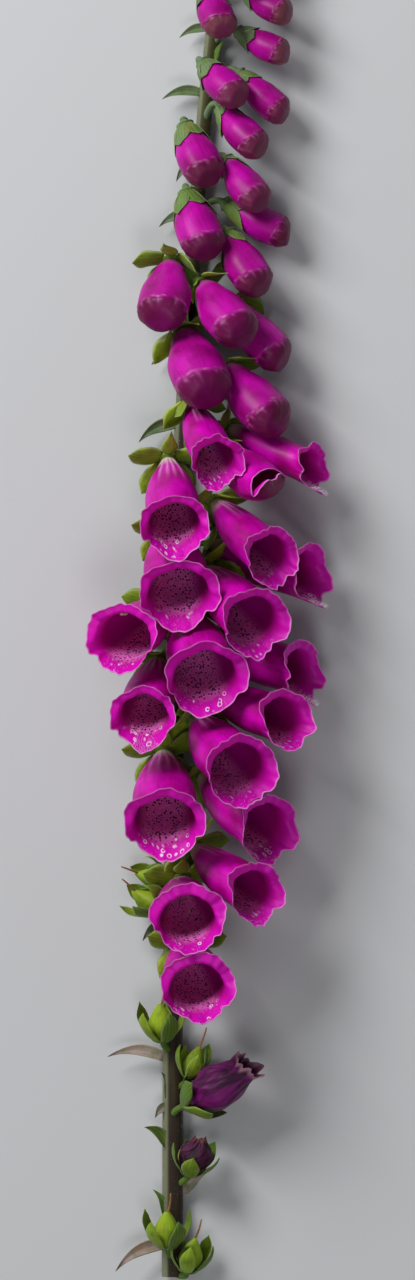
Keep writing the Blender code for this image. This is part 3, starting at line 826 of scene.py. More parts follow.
@dataclass(frozen=True)
class PetalInside(Finish):
    """The bell's lining: painted shade deep inside and at the roof, its belly set with small dark spots
    ringed pale.
    """

    # Painted shade deep inside and at the throat, and a lighter mouth as painted light.
    deep: str = "#aa0688"
    throat_shade: str = "#ac087e"
    mouth: str = "#d40ab2"
    ground: str = "#ff84dc"
    spot: str = "#40022c"
    ring: str = "#fbdcf2"
    # A painted highlight colour for the lip's glints, also laid on the rim's pale edge.
    glint: str = "#ffe9f8"
    # Spots lie about 1.4 mm apart, and the rings of the lip about 2.4 mm.
    spot_scale: float = 0.7
    ring_scale: float = 0.42

    def paint(self, canvas: Canvas) -> tuple[bpy.types.NodeSocket, list]:
        """Lays the spots' pale net, the lip's white rings, the spots and the lip's painted glints over
        painted shade.

        Args:
            canvas: What it paints by.

        Returns:
            The ground colour, and the layers over it, each a colour and how much of it shows.
        """
        tree, coords, along = canvas.tree, canvas.coords, canvas.along
        # The ground is painted shade deep in the tube, lightening towards the mouth as painted light.
        ground = add_node(
            tree, "ValToRGB",
            {"stops": [(0.0, self.deep), (0.6, self.deep), (0.8, self.throat_shade), (0.92, self.mouth)]},
            links={0: along},
        )
        spots, eyes = (
            add_node(
                tree, "TexVoronoi", values={"Scale": scale, "Randomness": loose}, links={"Vector": coords}
            )
            for scale, loose in ((self.spot_scale, 0.85), (self.ring_scale, 0.8))
        )
        cheek = add_node(tree, "Math", {"operation": "ABSOLUTE"}, links={0: canvas.across})
        belly = add_node(tree, "MapRange", SOFT, span(0.66, 0.83), {"Value": cheek})
        shallow = add_node(tree, "MapRange", SOFT, span(0.78, 0.9, 1.0, 0.0), {"Value": along})
        halo = add_node(
            tree, "ValToRGB", {"stops": [(0.22, "#303030"), (0.42, "#f4f4f4"), (0.7, "#c8c8c8")]},
            links={0: spots},
        )
        dot = add_node(tree, "MapRange", values=span(0.4, 0.3), links={"Value": spots})
        # On the lip only some spots have a ring, and it is white.
        rings = add_node(
            tree, "ValToRGB",
            {"stops": [(0.2, "#000000"), (0.28, "#ffffff"), (0.33, "#ffffff"), (0.4, "#000000")]},
            links={0: eyes},
        )
        which = add_node(tree, "SeparateColor", links={0: eyes.node.outputs["Color"]})
        limit = add_node(tree, "MapRange", values=span(0.0, 1.0, 0.97, 0.3), links={"Value": canvas.age})
        some = add_node(tree, "Math", {"operation": "GREATER_THAN"}, links={0: which, 1: limit})
        lip = add_node(
            tree, "ValToRGB",
            {"stops": [(0.78, "#000000"), (0.84, "#ffffff"), (0.95, "#ffffff"), (0.98, "#000000")]},
            links={0: along},
        )
        zone, low = (add_node(tree, "Math", TIMES, links={0: belly, 1: part}) for part in (shallow, lip))
        chosen = add_node(tree, "Math", TIMES, links={0: some, 1: low})
        netted, ringed, dotted = (
            add_node(tree, "Math", TIMES, links={0: mark, 1: where})
            for mark, where in ((halo, zone), (rings, chosen), (dot, zone))
        )
        layers = [(self.ground, netted), (self.ring, ringed), (self.spot, dotted), (self.glint, canvas.pale)]
        return ground, layers


@dataclass(frozen=True)
class Leaf(Finish):
    """Calyx, bract and capsule: yellow-green leaf, greyer in bud, pinkish brown when dry."""

    fresh: str = "#90ad16"
    mid: str = "#4c6e12"
    soft: str = "#64823a"
    grey: str = "#667a60"
    dry: str = "#a8968e"
    shade: str = "#47660f"
    flush: str = "#a8702c"
    margin: str = "#c4cf8e"
    scorch: str = "#453529"

    def paint(self, canvas: Canvas) -> tuple[bpy.types.NodeSocket, list]:
        """Lays shade, a warm flush, nerves, the margin and the scorched tip over the green.

        Args:
            canvas: What it paints by.

        Returns:
            The ground colour, and the layers over it, each a colour and how much of it shows.
        """
        tree, coords = canvas.tree, canvas.coords
        greens = [(0.1, self.fresh), (0.23, self.mid), (0.33, self.soft), (0.5, self.grey), (0.9, self.dry)]
        ground = add_node(tree, "ValToRGB", {"stops": greens}, links={0: canvas.age})
        # Shade comes in patches of about 5 mm, and the flush in patches of about 8 mm.
        cloud = add_node(tree, "TexNoise", values={"Scale": 0.22, "Detail": 4.0}, links={"Vector": coords})
        shaded = add_node(tree, "MapRange", values=span(0.45, 0.75, 0.0, 0.7), links={"Value": cloud})
        warm = add_node(
            tree, "TexNoise", {"noise_dimensions": "4D"}, {"Scale": 0.13, "Detail": 2.0, "W": 4.0},
            {"Vector": coords},
        )
        flushed = add_node(tree, "MapRange", values=span(0.6, 0.8, 0.0, 0.42), links={"Value": warm})
        # Nerves about 1.4 mm apart run from root to tip.
        nerves = add_node(
            tree, "TexWave", {"bands_direction": "X"}, {"Scale": 0.22, "Distortion": 0.6, "Detail": 1.0},
            {"Vector": coords},
        )
        nerved = add_node(
            tree, "MapRange", values=span(0.8, 1.0, 0.0, 0.14), links={"Value": nerves.node.outputs[1]}
        )
        # Older blades are scorched at the tip.
        end = add_node(tree, "MapRange", SOFT, span(0.7, 1.0), {"Value": canvas.along})
        old = add_node(tree, "MapRange", values=span(0.43, 0.5, 0.0, 0.85), links={"Value": canvas.age})
        burnt = add_node(tree, "Math", TIMES, links={0: end, 1: old})
        layers = [(self.shade, shaded), (self.flush, flushed), (self.margin, nerved)]
        return ground, layers + [(self.margin, canvas.pale), (self.scorch, burnt)]


@dataclass(frozen=True)
class Stem(Finish):
    """The downy stalk: flushed dark purple-brown, its left side painted lighter grey-green as painted light.
    """

    # The left side's lighter grey-green is painted light.
    green: str = "#787e60"
    dark: str = "#2c2116"
    young: str = "#4c4e22"
    streak: str = "#483f22"
    bloomy: str = "#a9b48c"

    def paint(self, canvas: Canvas) -> tuple[bpy.types.NodeSocket, list]:
        """Lays lengthways streaks and the green left side, painted light, over the flushed stalk.

        Args:
            canvas: What it paints by.

        Returns:
            The ground colour, and the layers over it, each a colour and how much of it shows.
        """
        tree = canvas.tree
        ground = add_node(
            tree, "ValToRGB", {"stops": [(0.0, self.dark), (0.65, self.dark), (0.95, self.young)]},
            links={0: canvas.along},
        )
        # Streaks are about 1 mm wide and run up the stalk for about 15 mm.
        long = add_node(tree, "Mapping", values={"Scale": (1.0, 1.0, 0.06)}, links={"Vector": canvas.coords})
        streaks = add_node(tree, "TexNoise", values={"Scale": 1.1, "Detail": 4.0}, links={"Vector": long})
        streaked = add_node(tree, "MapRange", values=span(0.45, 0.75, 0.0, 0.5), links={"Value": streaks})
        # The left side is painted lighter, as painted light falling from the left.
        left = add_node(tree, "MapRange", SOFT, span(-0.3, -0.62, 0.0, 0.85), {"Value": canvas.across})
        return ground, [(self.streak, streaked), (self.green, left), (self.bloomy, canvas.pale)]


@dataclass(frozen=True)
class Spent(Finish):
    """A wilted petal: limp, dark purple, creased lengthways in painted shade and light, its ragged end dry
    and brown.
    """

    # Shaded and lit colours of the folds: painted shade and painted light.
    dark: str = "#3a0232"
    lit: str = "#740664"
    end: str = "#b98a98"

    def paint(self, canvas: Canvas) -> tuple[bpy.types.NodeSocket, list]:
        """Lays the dry end over dark and lit folds, painted shade and painted light.

        Args:
            canvas: What it paints by.

        Returns:
            The ground colour, and the layers over it, each a colour and how much of it shows.
        """
        tree = canvas.tree
        # Folds are about 4.5 mm apart and three times as long; their dark and lit streaks are painted shade
        # and painted light.
        long = add_node(
            tree, "Mapping", values={"Scale": (1.0, 1.0, 0.32), "Rotation": (0.25, 0.35, 0.0)},
            links={"Vector": canvas.coords},
        )
        folds = add_node(
            tree, "TexNoise", values={"Scale": 0.22, "Detail": 4.0, "Distortion": 0.8},
            links={"Vector": long},
        )
        ground = add_node(tree, "ValToRGB", {"stops": [(0.4, self.dark), (0.62, self.lit)]}, links={0: folds})
        return ground, [(self.end, canvas.pale)]


@dataclass(frozen=True)
class Plain(Finish):
    """A small organ of one colour with a soft mottle, such as an anther, a style or a hair."""

    colour: str = "#e8dcb0"
    mottle: str = "#b98a7a"

    def paint(self, canvas: Canvas) -> tuple[bpy.types.NodeSocket, list]:
        """Mottles the colour over about 0.8 mm.

        Args:
            canvas: What it paints by.

        Returns:
            The ground colour and no layers.
        """
        cloud = add_node(
            canvas.tree, "TexNoise", values={"Scale": 1.2, "Detail": 2.0}, links={"Vector": canvas.coords}
        )
        stops = [(0.45, self.colour), (0.75, self.mottle)]
        return add_node(canvas.tree, "ValToRGB", {"stops": stops}, links={0: cloud}), []


class Wardrobe:
    """Every finish on the spike, made once."""

    def __init__(self) -> None:
        """Makes the materials."""
        # Living petal, its skin of tiny domed cells faintly waxed: a satin glow, not a gloss.
        self.outside = PetalOutside("petal_outside", 0.42, 0.0, 0.35, shine=0.32).material()
        # Petal not yet stretched, denser and tighter: the same magenta, smoother and darker.
        self.bud = PetalOutside(
            "petal_bud", 0.4, 0.0, 0.15, shine=0.3, bright="#c406a4", deep="#8e046a", neck="#b04a90",
            edge="#cf86ac",
        ).material()
        # The petal's lining, thin and moist: light that comes through it lifts it to a warm glow.
        self.inside = PetalInside("petal_inside", 0.45, 0.0, 0.45, shine=0.3).material()
        # Leaf with short fine hairs: a mat yellow-green that goes grey where it turns away.
        self.leaf = Leaf("sepal_and_bract", 0.55, 0.08, 0.1).material()
        # Ribbed stalk under thick down: dull, with a grey bloom along its edges.
        self.stem = Stem("downy_stalk", 0.6, 0.15, 0.05).material()
        # Petal gone limp and wet: dark, creased, still a little glossy on its folds.
        self.spent = Spent("wilted_petal", 0.5, 0.12, 0.05, relief=0.3).material()
        # Petal dried to paper: nearly black, rough and mat.
        self.shrunk = Spent(
            "withered_petal", 0.6, 0.1, 0.03, relief=0.4, dark="#240a1c", lit="#4c1438", end="#74423c"
        ).material()
        # Pollen sacs, dusted and grainy: cream without any gloss.
        self.anther = Plain("anther", 0.6).material()
        # Smooth living style and filaments: pale pink with a soft shine.
        self.style = Plain("style", 0.45, colour="#d7a8b4", mottle="#a8607c").material()
        # A style dried like straw on its capsule: mat brown.
        self.dried = Plain("dried_style", 0.6, colour="#a5743c", mottle="#5f3f22").material()
        # Single glassy hairs of the lip and the stalk: near white, catching the light.
        self.hair = Plain("hair", 0.35, colour="#f6eaf2", mottle="#efdcea").material()
        # Short soft down of the buds: a pink haze at their outline.
        self.down = Plain("petal_down", 0.5, 0.3, colour="#cf86be", mottle="#c070ae").material()
        # The stalk's pith, cut across with a knife: pale green, open-pored and dull.
        self.pith = Plain("cut_pith", 0.7, colour="#c9cf9c", mottle="#93a05c").material()


@dataclass
class Corolla:
    """A bell's petal tube, flared in five lobes, or a shut bud, or a spent one."""

    bloom: Bloom
    node: str
    seed: int
    tongue: float = 0.0
    rings: float = 0.0
    flare: float = 1.0
    columns: int = 120
    rows: int = 42
    bud_columns: int = 72
    bud_rows: int = 50
    wall: float = 0.45
    # The rim, in mm: its broad and fine waves, the waist under it, how far the upper lip turns out
    # and back, how deep a cleft is and how high a stripe. The throat is a share of the width.
    broad_wave: float = 0.5
    fine_wave: float = 0.42
    waist: float = 0.35
    throat: float = 0.058
    brim_out: float = 0.9
    brim_back: float = 2.2
    cleft_depth: float = 0.9
    stripe_rise: float = 0.42
    # In degrees, how far a tongue, a cleft and a stripe go to each side.
    tongue_half: float = 17.0
    cleft_half: float = 9.0
    stripe_half: float = 4.2
    # An opening bell: its share of the waves, and its folded lip's way in, bulge and narrowing as
    # shares of the half-width, and its dullness.
    opening_waves: float = 0.25
    fold_in: float = 1.58
    fold_bulge: float = 0.42
    fold_narrow: float = 0.35
    fold_dull: float = 0.66
    # A bud: where its folded lobes start, and in mm how deep the crease and the folds there are.
    brow: float = 0.82
    crease_depth: float = 0.55
    fold_depth: float = 0.3
    # In degrees from the upper lip: its pale stripes, the clefts beside the lower lip, and where
    # the lip of an opening bell folds in, and how far to each side of there.
    stripes: tuple = (-34, -13, 9, 30)
    clefts: tuple = (-124, 124)
    fold: float = 146.0
    fold_reach: float = 98.0
    # How many hairs a lip, a tongue and a bud have.
    lip_count: int = 48
    tongue_count: int = 110
    bud_count: int = 90

    def __post_init__(self) -> None:
        """Seeds what differs from flower to flower."""
        self.draw = np.random.default_rng(self.seed)

    def coords(self, degrees: Array, share: Array) -> Array:
        """Unrolls the tube for its patterns, without a seam.

        Args:
            degrees: Angles round from the upper lip.
            share: Shares of the length, of the same shape.

        Returns:
            The unrolled places, in mm, far from those of other flowers.
        """
        angle, radius = np.radians(degrees), self.bloom.flower.width * 0.5
        along = share * self.bloom.flower.length + 60 * self.seed
        return np.stack([radius * np.sin(angle), radius * np.cos(angle), along], -1)

    def waves(self, degrees: Array, counts: tuple) -> Array:
        """Draws uneven waves round the tube.

        Args:
            degrees: Angles round from the upper lip.
            counts: How many times each wave goes up and down on its way round.

        Returns:
            Their sum, of about unit height.
        """
        total = np.zeros_like(degrees, dtype=float)
        for count in counts:
            total += np.sin(np.radians(degrees) * count + self.draw.uniform(0, 6.3)) / len(counts)
        return total * 1.4

    def shell(self, outer: Array, taper: Array) -> Array:
        """Finds the lining, a wall's thickness inside the outside.

        Args:
            outer: The outside's rings of points.
            taper: Each point's share of the full thickness.

        Returns:
            The lining's rings of points.
        """
        down = np.gradient(outer, axis=0)
        across = np.roll(outer, -1, 1) - np.roll(outer, 1, 1)
        return outer - unit(np.cross(down, across)) * (self.wall * taper)[..., None]

    def bell(self, wardrobe: Wardrobe) -> None:
        """Builds an open bell or the one that is just opening.

        Args:
            wardrobe: The finishes.
        """
        bloom, flower = self.bloom, self.bloom.flower
        share, degrees = tube(1 - (1 - np.linspace(0, 1, self.rows)) ** 1.35, self.columns)
        lip = ease(0.8, 1, share)
        # How far a point belongs to the lower lip, which spans about 100 degrees.
        under = np.cos(np.clip((np.abs(degrees) - 180) / 52, -1, 1) * np.pi / 2) ** 2
        # The rim waves broadly and finely, over a slight waist.
        fine = self.fine_wave * self.waves(degrees, (7, 11, 16, 22))
        wider = lip**1.5 * (fine + self.broad_wave * self.waves(degrees, (3, 5)))
        wider -= self.waist * (ease(0.6, 0.88, share) - ease(0.88, 1, share)) * (1 - under)
        # The lobes reach forward, the lower one furthest, on some bells as a narrow tongue.
        longer = lobes(degrees) * flower.length * ease(0.72, 1, share)
        longer += lip**2 * (0.4 + 0.3 * under) * self.waves(degrees, (9, 13, 21))
        longer += self.tongue * ease(0.86, 1, share) * bump(0, self.tongue_half, np.abs(degrees) - 180)
        # The upper lip narrows and then turns back.
        top = ease(-0.45, 0.4, np.cos(np.radians(degrees)))
        flare = self.draw.uniform(0.8, 1.1) * self.flare
        wider -= flower.width * self.throat * flare * (ease(0.7, 0.93, share) - ease(0.93, 1, share)) * top
        brim = top * ease(0.91, 1, share)
        wider, longer = wider + brim * self.brim_out, longer - brim * self.brim_back * flare
        for notch in self.clefts:
            middle = notch + self.draw.uniform(-6, 6)
            cleft = bump(middle, self.cleft_half, degrees) * ease(0.85, 1, share)
            wider, longer = wider - cleft * self.cleft_depth, longer - cleft
        stripes = np.zeros_like(degrees)
        for middle in self.stripes:
            stripes += bump(middle + self.draw.uniform(-4, 4), self.stripe_half, degrees)
        faded = ease(0.02, 0.08, share) * (1 - ease(0.16, 0.52, share))
        wider += stripes * faded * self.stripe_rise
        tired = np.zeros_like(degrees)
        if flower.kind is Kind.OPENING:
            wider, longer = wider * self.opening_waves, longer * self.opening_waves
        outer = bloom.skin(degrees, share, wider, longer)
        if flower.kind is Kind.OPENING:
            move, tired = self.flap(degrees, share)
            outer = outer + move
        taper = 1 - 0.45 * ease(0.9, 1, share)
        inner = self.shell(outer, taper)
        sketch = Sketch(f"{self.node}_petals")
        coords = self.coords(degrees, share)
        edge = ease(0.975, 1, share) * (0.62 + 0.2 * np.clip(self.waves(degrees, (5, 9, 17)), -1, 1))
        pale_out = np.clip(edge + stripes * faded * 0.95, 0, 1)
        chosen = self.draw.random(share.shape)
        # Bright specks painted where the lip's hairs catch the light: painted highlights.
        painted_glints = (chosen > 0.91) * under**0.5 * (ease(0.86, 0.88, share) - ease(0.89, 0.91, share))
        painted_glints += (chosen > 0.985) * under * (ease(0.9, 0.92, share) - ease(0.96, 0.985, share))
        pale_in = np.clip(ease(0.985, 1, share) * 0.45 + painted_glints * 0.9, 0, 1)
        place = (two_sided(share), np.abs(two_sided(degrees)) / 180, two_sided(tired, self.rings + 0 * share))
        sketch.loft(
            bloom.place(two_sided(outer, inner)), two_sided(coords), place, two_sided(pale_out, pale_in),
            np.repeat((0, 1), self.rows), loop=True,
        )
        self.lip_hairs(sketch, inner, degrees, share)
        sketch.build([wardrobe.outside, wardrobe.inside, wardrobe.hair], self.node, "corolla")

    def flap(self, degrees: Array, share: Array) -> tuple[Array, Array]:
        """Folds the lower lip of an opening bell in across its mouth.

        Args:
            degrees: Angles round from the upper lip.
            share: Shares of the length, of the same shape.

        Returns:
            How far each point moves, in mm, and how dull the folded lip is there.
        """
        swing = (degrees - self.fold + 180) % 360 - 180
        amount = ease(0, 1, 1.45 * (1 - np.abs(swing) / self.fold_reach))
        bend, reach = ease(0.66, 0.99, share), self.bloom.flower.width * 0.5
        way = math.radians(self.fold)
        inward = np.array([-math.sin(way), -math.cos(way), 0.0]) * reach * self.fold_in
        forward = np.array([0.0, 0.0, 1.0]) * reach * self.fold_bulge
        narrow = np.array([math.cos(way), -math.sin(way), 0.0]) * reach * self.fold_narrow
        bulge = np.sin(np.pi * bend**0.9) - 0.1 * bend
        move = (amount * bend)[..., None] * inward + (amount * bulge)[..., None] * forward
        move -= (amount * bend**2 * np.sin(np.radians(swing)))[..., None] * narrow
        return move, self.fold_dull * amount * ease(0.1, 0.5, bend)

    def lip_hairs(self, sketch: Sketch, inner: Array, degrees: Array, share: Array) -> None:
        """Adds the pale hairs that stand on the lower lip, inside and along its edge.

        Args:
            sketch: The sketch.
            inner: The lining's rings of points.
            degrees: Their angles round from the upper lip.
            share: Their shares of the length.
        """
        zone = (np.abs(degrees) > 138) & (share > 0.7) & (share < 0.99)
        if self.tongue:
            zone = (np.abs(degrees) > 158) & (share > 0.9)
        rows, columns = np.nonzero(zone)
        count = self.tongue_count if self.tongue else self.lip_count
        picked = self.draw.choice(len(rows), min(count, len(rows)), replace=False)
        roots = inner[rows[picked], columns[picked]]
        centre = self.bloom.core(share[rows[picked], columns[picked]])
        ways = unit(centre - roots) + (0, 0, 0.9) + self.draw.normal(0, 0.25, roots.shape)
        lengths = self.draw.uniform(0.6, 1.7, len(roots)) * (1.7 if self.tongue else 1)
        radius = 0.06 if self.tongue else 0.04
        sketch.hairs(self.bloom.place(roots), ways @ self.bloom.frame(), lengths, radius, 2)

    def bud(self, wardrobe: Wardrobe, age: float) -> None:
        """Builds a shut bud with its lobes folded over the end.

        Args:
            wardrobe: The finishes.
            age: How dull and green it still is, 0 to 1.
        """
        bloom, flower = self.bloom, self.bloom.flower
        columns, rows = self.bud_columns, self.bud_rows
        share, degrees = tube(np.linspace(0, 1, rows) ** 0.95, columns)
        # The folded lobes start at an uneven brow, with a crease under it and folds beyond it.
        brow = self.brow + 0.03 * np.cos(np.radians(degrees * 2 + self.draw.uniform(0, 90)))
        brow += 0.014 * self.waves(degrees, (3, 5, 9, 14))
        crease = bump(0.004, 0.012, share - brow)
        folds = np.zeros_like(degrees)
        for middle in range(-160, 180, 34):
            bent = middle + self.draw.uniform(-12, 12) + 30 * (share - brow)
            near = bump(0, self.draw.uniform(2.5, 4.5), (degrees - bent + 180) % 360 - 180)
            folds += near * (1 - ease(0.03, self.draw.uniform(0.07, 0.18), share - brow))
        folds *= ease(-0.01, 0.02, share - brow)
        sunk = crease * self.crease_depth + folds * self.fold_depth
        sunk = sunk - 0.22 * bump(-0.014, 0.012, share - brow)
        round_end = ease(0.86, 1, share)
        wider = -sunk * flower.width / 20 + 0.2 * round_end - 0.14 * self.waves(degrees, (4, 6)) * share
        wider += bloom.fullness(share) + 0.1 * self.waves(degrees, (9, 15)) * ease(0, 0.05, share - brow)
        outer = bloom.skin(degrees, share, wider, -0.4 * round_end)
        end, closing = outer[-1].mean(0), ((0.7, 0.35), (0.36, 0.5), (0.03, 0.5))
        cap = [end + (outer[-1] - end) * part + (0, 0, lift) for part, lift in closing]
        points = np.concatenate([outer, np.array(cap)])
        shares = np.concatenate([share, np.ones((3, columns))])
        turns = np.concatenate([degrees, degrees[:3]])
        # A bud brightens as it grows, and its folded lobes stay dull the longest; on big buds darker still,
        # as painted shade.
        past = share - brow
        dull_and_shade = age * (0.12 + 0.2 * ease(0.3, 0.8, share)) + ease(-0.045, 0.05, past) * (0.4 - 0.2 * age)
        dull_and_shade = np.clip(dull_and_shade + ease(-0.02, 0.11, past) * (0.16 + 0.42 * age), 0, 1)
        broken = 0.5 + 0.5 * np.clip(self.waves(degrees, (5, 8, 13)), -1, 1)
        line = np.clip(bump(-0.01, 0.007, share - brow) * 0.7 * broken + folds * 0.26, 0, 0.6)
        sketch = Sketch(f"{self.node}_petals")
        sketch.loft(
            bloom.place(points), self.coords(turns, shares),
            (shares, turns / 180, np.concatenate([dull_and_shade, np.full((3, columns), 0.5 + age / 2)])),
            np.concatenate([line, np.zeros((3, columns))]),
        )
        picked = self.draw.integers(0, (rows - 1) * columns, self.bud_count)
        roots, spine = outer.reshape(-1, 3)[picked], bloom.core(share.reshape(-1)[picked])
        ways = unit(roots - spine) + self.draw.normal(0, 0.3, roots.shape)
        lengths = self.draw.uniform(0.3, 0.7, self.bud_count)
        sketch.hairs(bloom.place(roots), ways @ bloom.frame(), lengths, 0.03, 1)
        sketch.build([wardrobe.bud, wardrobe.down], self.node, "corolla")

    def spent(self, wardrobe: Wardrobe) -> None:
        """Builds a wilted or withered corolla, creased and ragged.

        Args:
            wardrobe: The finishes.
        """
        bloom, flower = self.bloom, self.bloom.flower
        share, degrees = tube(np.linspace(0, 1, self.rows), self.columns)
        withered = flower.kind is Kind.WITHERED
        # Long creases wind round it, and others cross them.
        twist = degrees + share * 55 + 12 * np.sin(share * 9 + self.draw.uniform(0, 6))
        creases = 0.6 * self.waves(twist, (2, 3, 5)) + 0.14 * self.waves(twist + 60 * share**2, (11, 17))
        cross = np.sin(share * 15 + self.waves(degrees, (2, 3, 5)) * 2.6) * 0.36
        wider = (creases + cross) * ease(0.05, 0.4, share)
        wider += (1.5 * bump(0.48, 0.3, share) - 0.2) * (0.2 if withered else 1)
        wider -= flower.width * (0.24 if withered else 0) * ease(0.55, 1, share)
        ragged = self.waves(degrees, (3, 5, 8, 13)) * (0.9 if withered else 1.6) - 0.6
        longer = (lobes(degrees) * flower.length * bloom.lobed + ragged) * ease(0.7, 1, share)
        outer = bloom.skin(degrees, share, wider, longer)
        inner = self.shell(outer, np.ones_like(share))
        pale = ease(0.9, 1, share + 0.03 * self.waves(degrees, (4, 7, 10))) * 0.85
        pale = pale + 0.4 * (1 - ease(0.03, 0.2, share)) * (not withered)
        sketch = Sketch(f"{self.node}_petals")
        coords = self.coords(degrees, share)
        place = (two_sided(share), np.abs(two_sided(degrees)) / 180, 0.0)
        wall = bloom.place(two_sided(outer, inner))
        sketch.loft(wall, two_sided(coords), place, two_sided(pale), loop=True)
        finish = wardrobe.shrunk if withered else wardrobe.spent
        sketch.build([finish], self.node, flower.kind.value)


@dataclass
class Blade:
    """A small leaf: its middle line, its width and how its two halves fold."""

    root: Array
    middle: Array
    tip: Array
    across: Array
    width: float
    outline: tuple
    age: float
    fold: float = 0.16
    thickness: float = 0.45
    stations: int = 13
    rim: float = 0.4

    def add(self, sketch: Sketch, seed: int, slot: int = 0) -> None:
        """Adds the blade to a sketch.

        Args:
            sketch: The sketch.
            seed: What its waves are drawn from.
            slot: Material index.
        """
        draw = np.random.default_rng(seed)
        t = np.linspace(0, 1, self.stations)[:, None]
        # The blade bends through its middle point at 0.45 of the way.
        bend = (self.middle - 0.3025 * self.root - 0.2025 * self.tip) / 0.495
        line = (1 - t) ** 2 * self.root + 2 * t * (1 - t) * bend + t**2 * self.tip
        course = unit(np.gradient(line, axis=0))
        across = unit(self.across - course * (course @ self.across)[:, None])
        normal = np.cross(across, course)
        half = np.interp(t, [p for p, _ in self.outline], [w for _, w in self.outline])[:, 0] * self.width / 2
        x = np.concatenate([np.linspace(1, -1, 9), np.linspace(-0.75, 0.75, 7)])
        side = np.concatenate([np.ones(9), -np.ones(7)])
        thick = self.thickness / 2 * np.sqrt(np.clip(1.04 - x**2, 0, 1)) * side
        wave = 0.07 * np.sin(t * 9 + draw.uniform(0, 6)) * np.abs(x) * np.sign(x + 0.01)
        lift = half[:, None] * (self.fold * x**2 * 2 + wave) - 0.35 * bump(0, 0.12, x) * ease(0, 0.2, t) * 0.5
        points = line[:, None] + across[:, None] * (half[:, None] * x)[..., None]
        points = points + normal[:, None] * (lift + thick * (1 - 0.5 * t))[..., None]
        run = t * np.linalg.norm(self.tip - self.root)
        coords = np.stack(np.broadcast_arrays(half[:, None] * x, run + seed * 9.0, seed * 5.0 + 0 * x), -1)
        pale = ease(0.8, 1.0, np.abs(x))[None] * np.ones((self.stations, 1)) * self.rim
        sketch.loft(points, coords, (t * np.ones_like(x), x[None] + 0 * t, self.age), pale, slot)


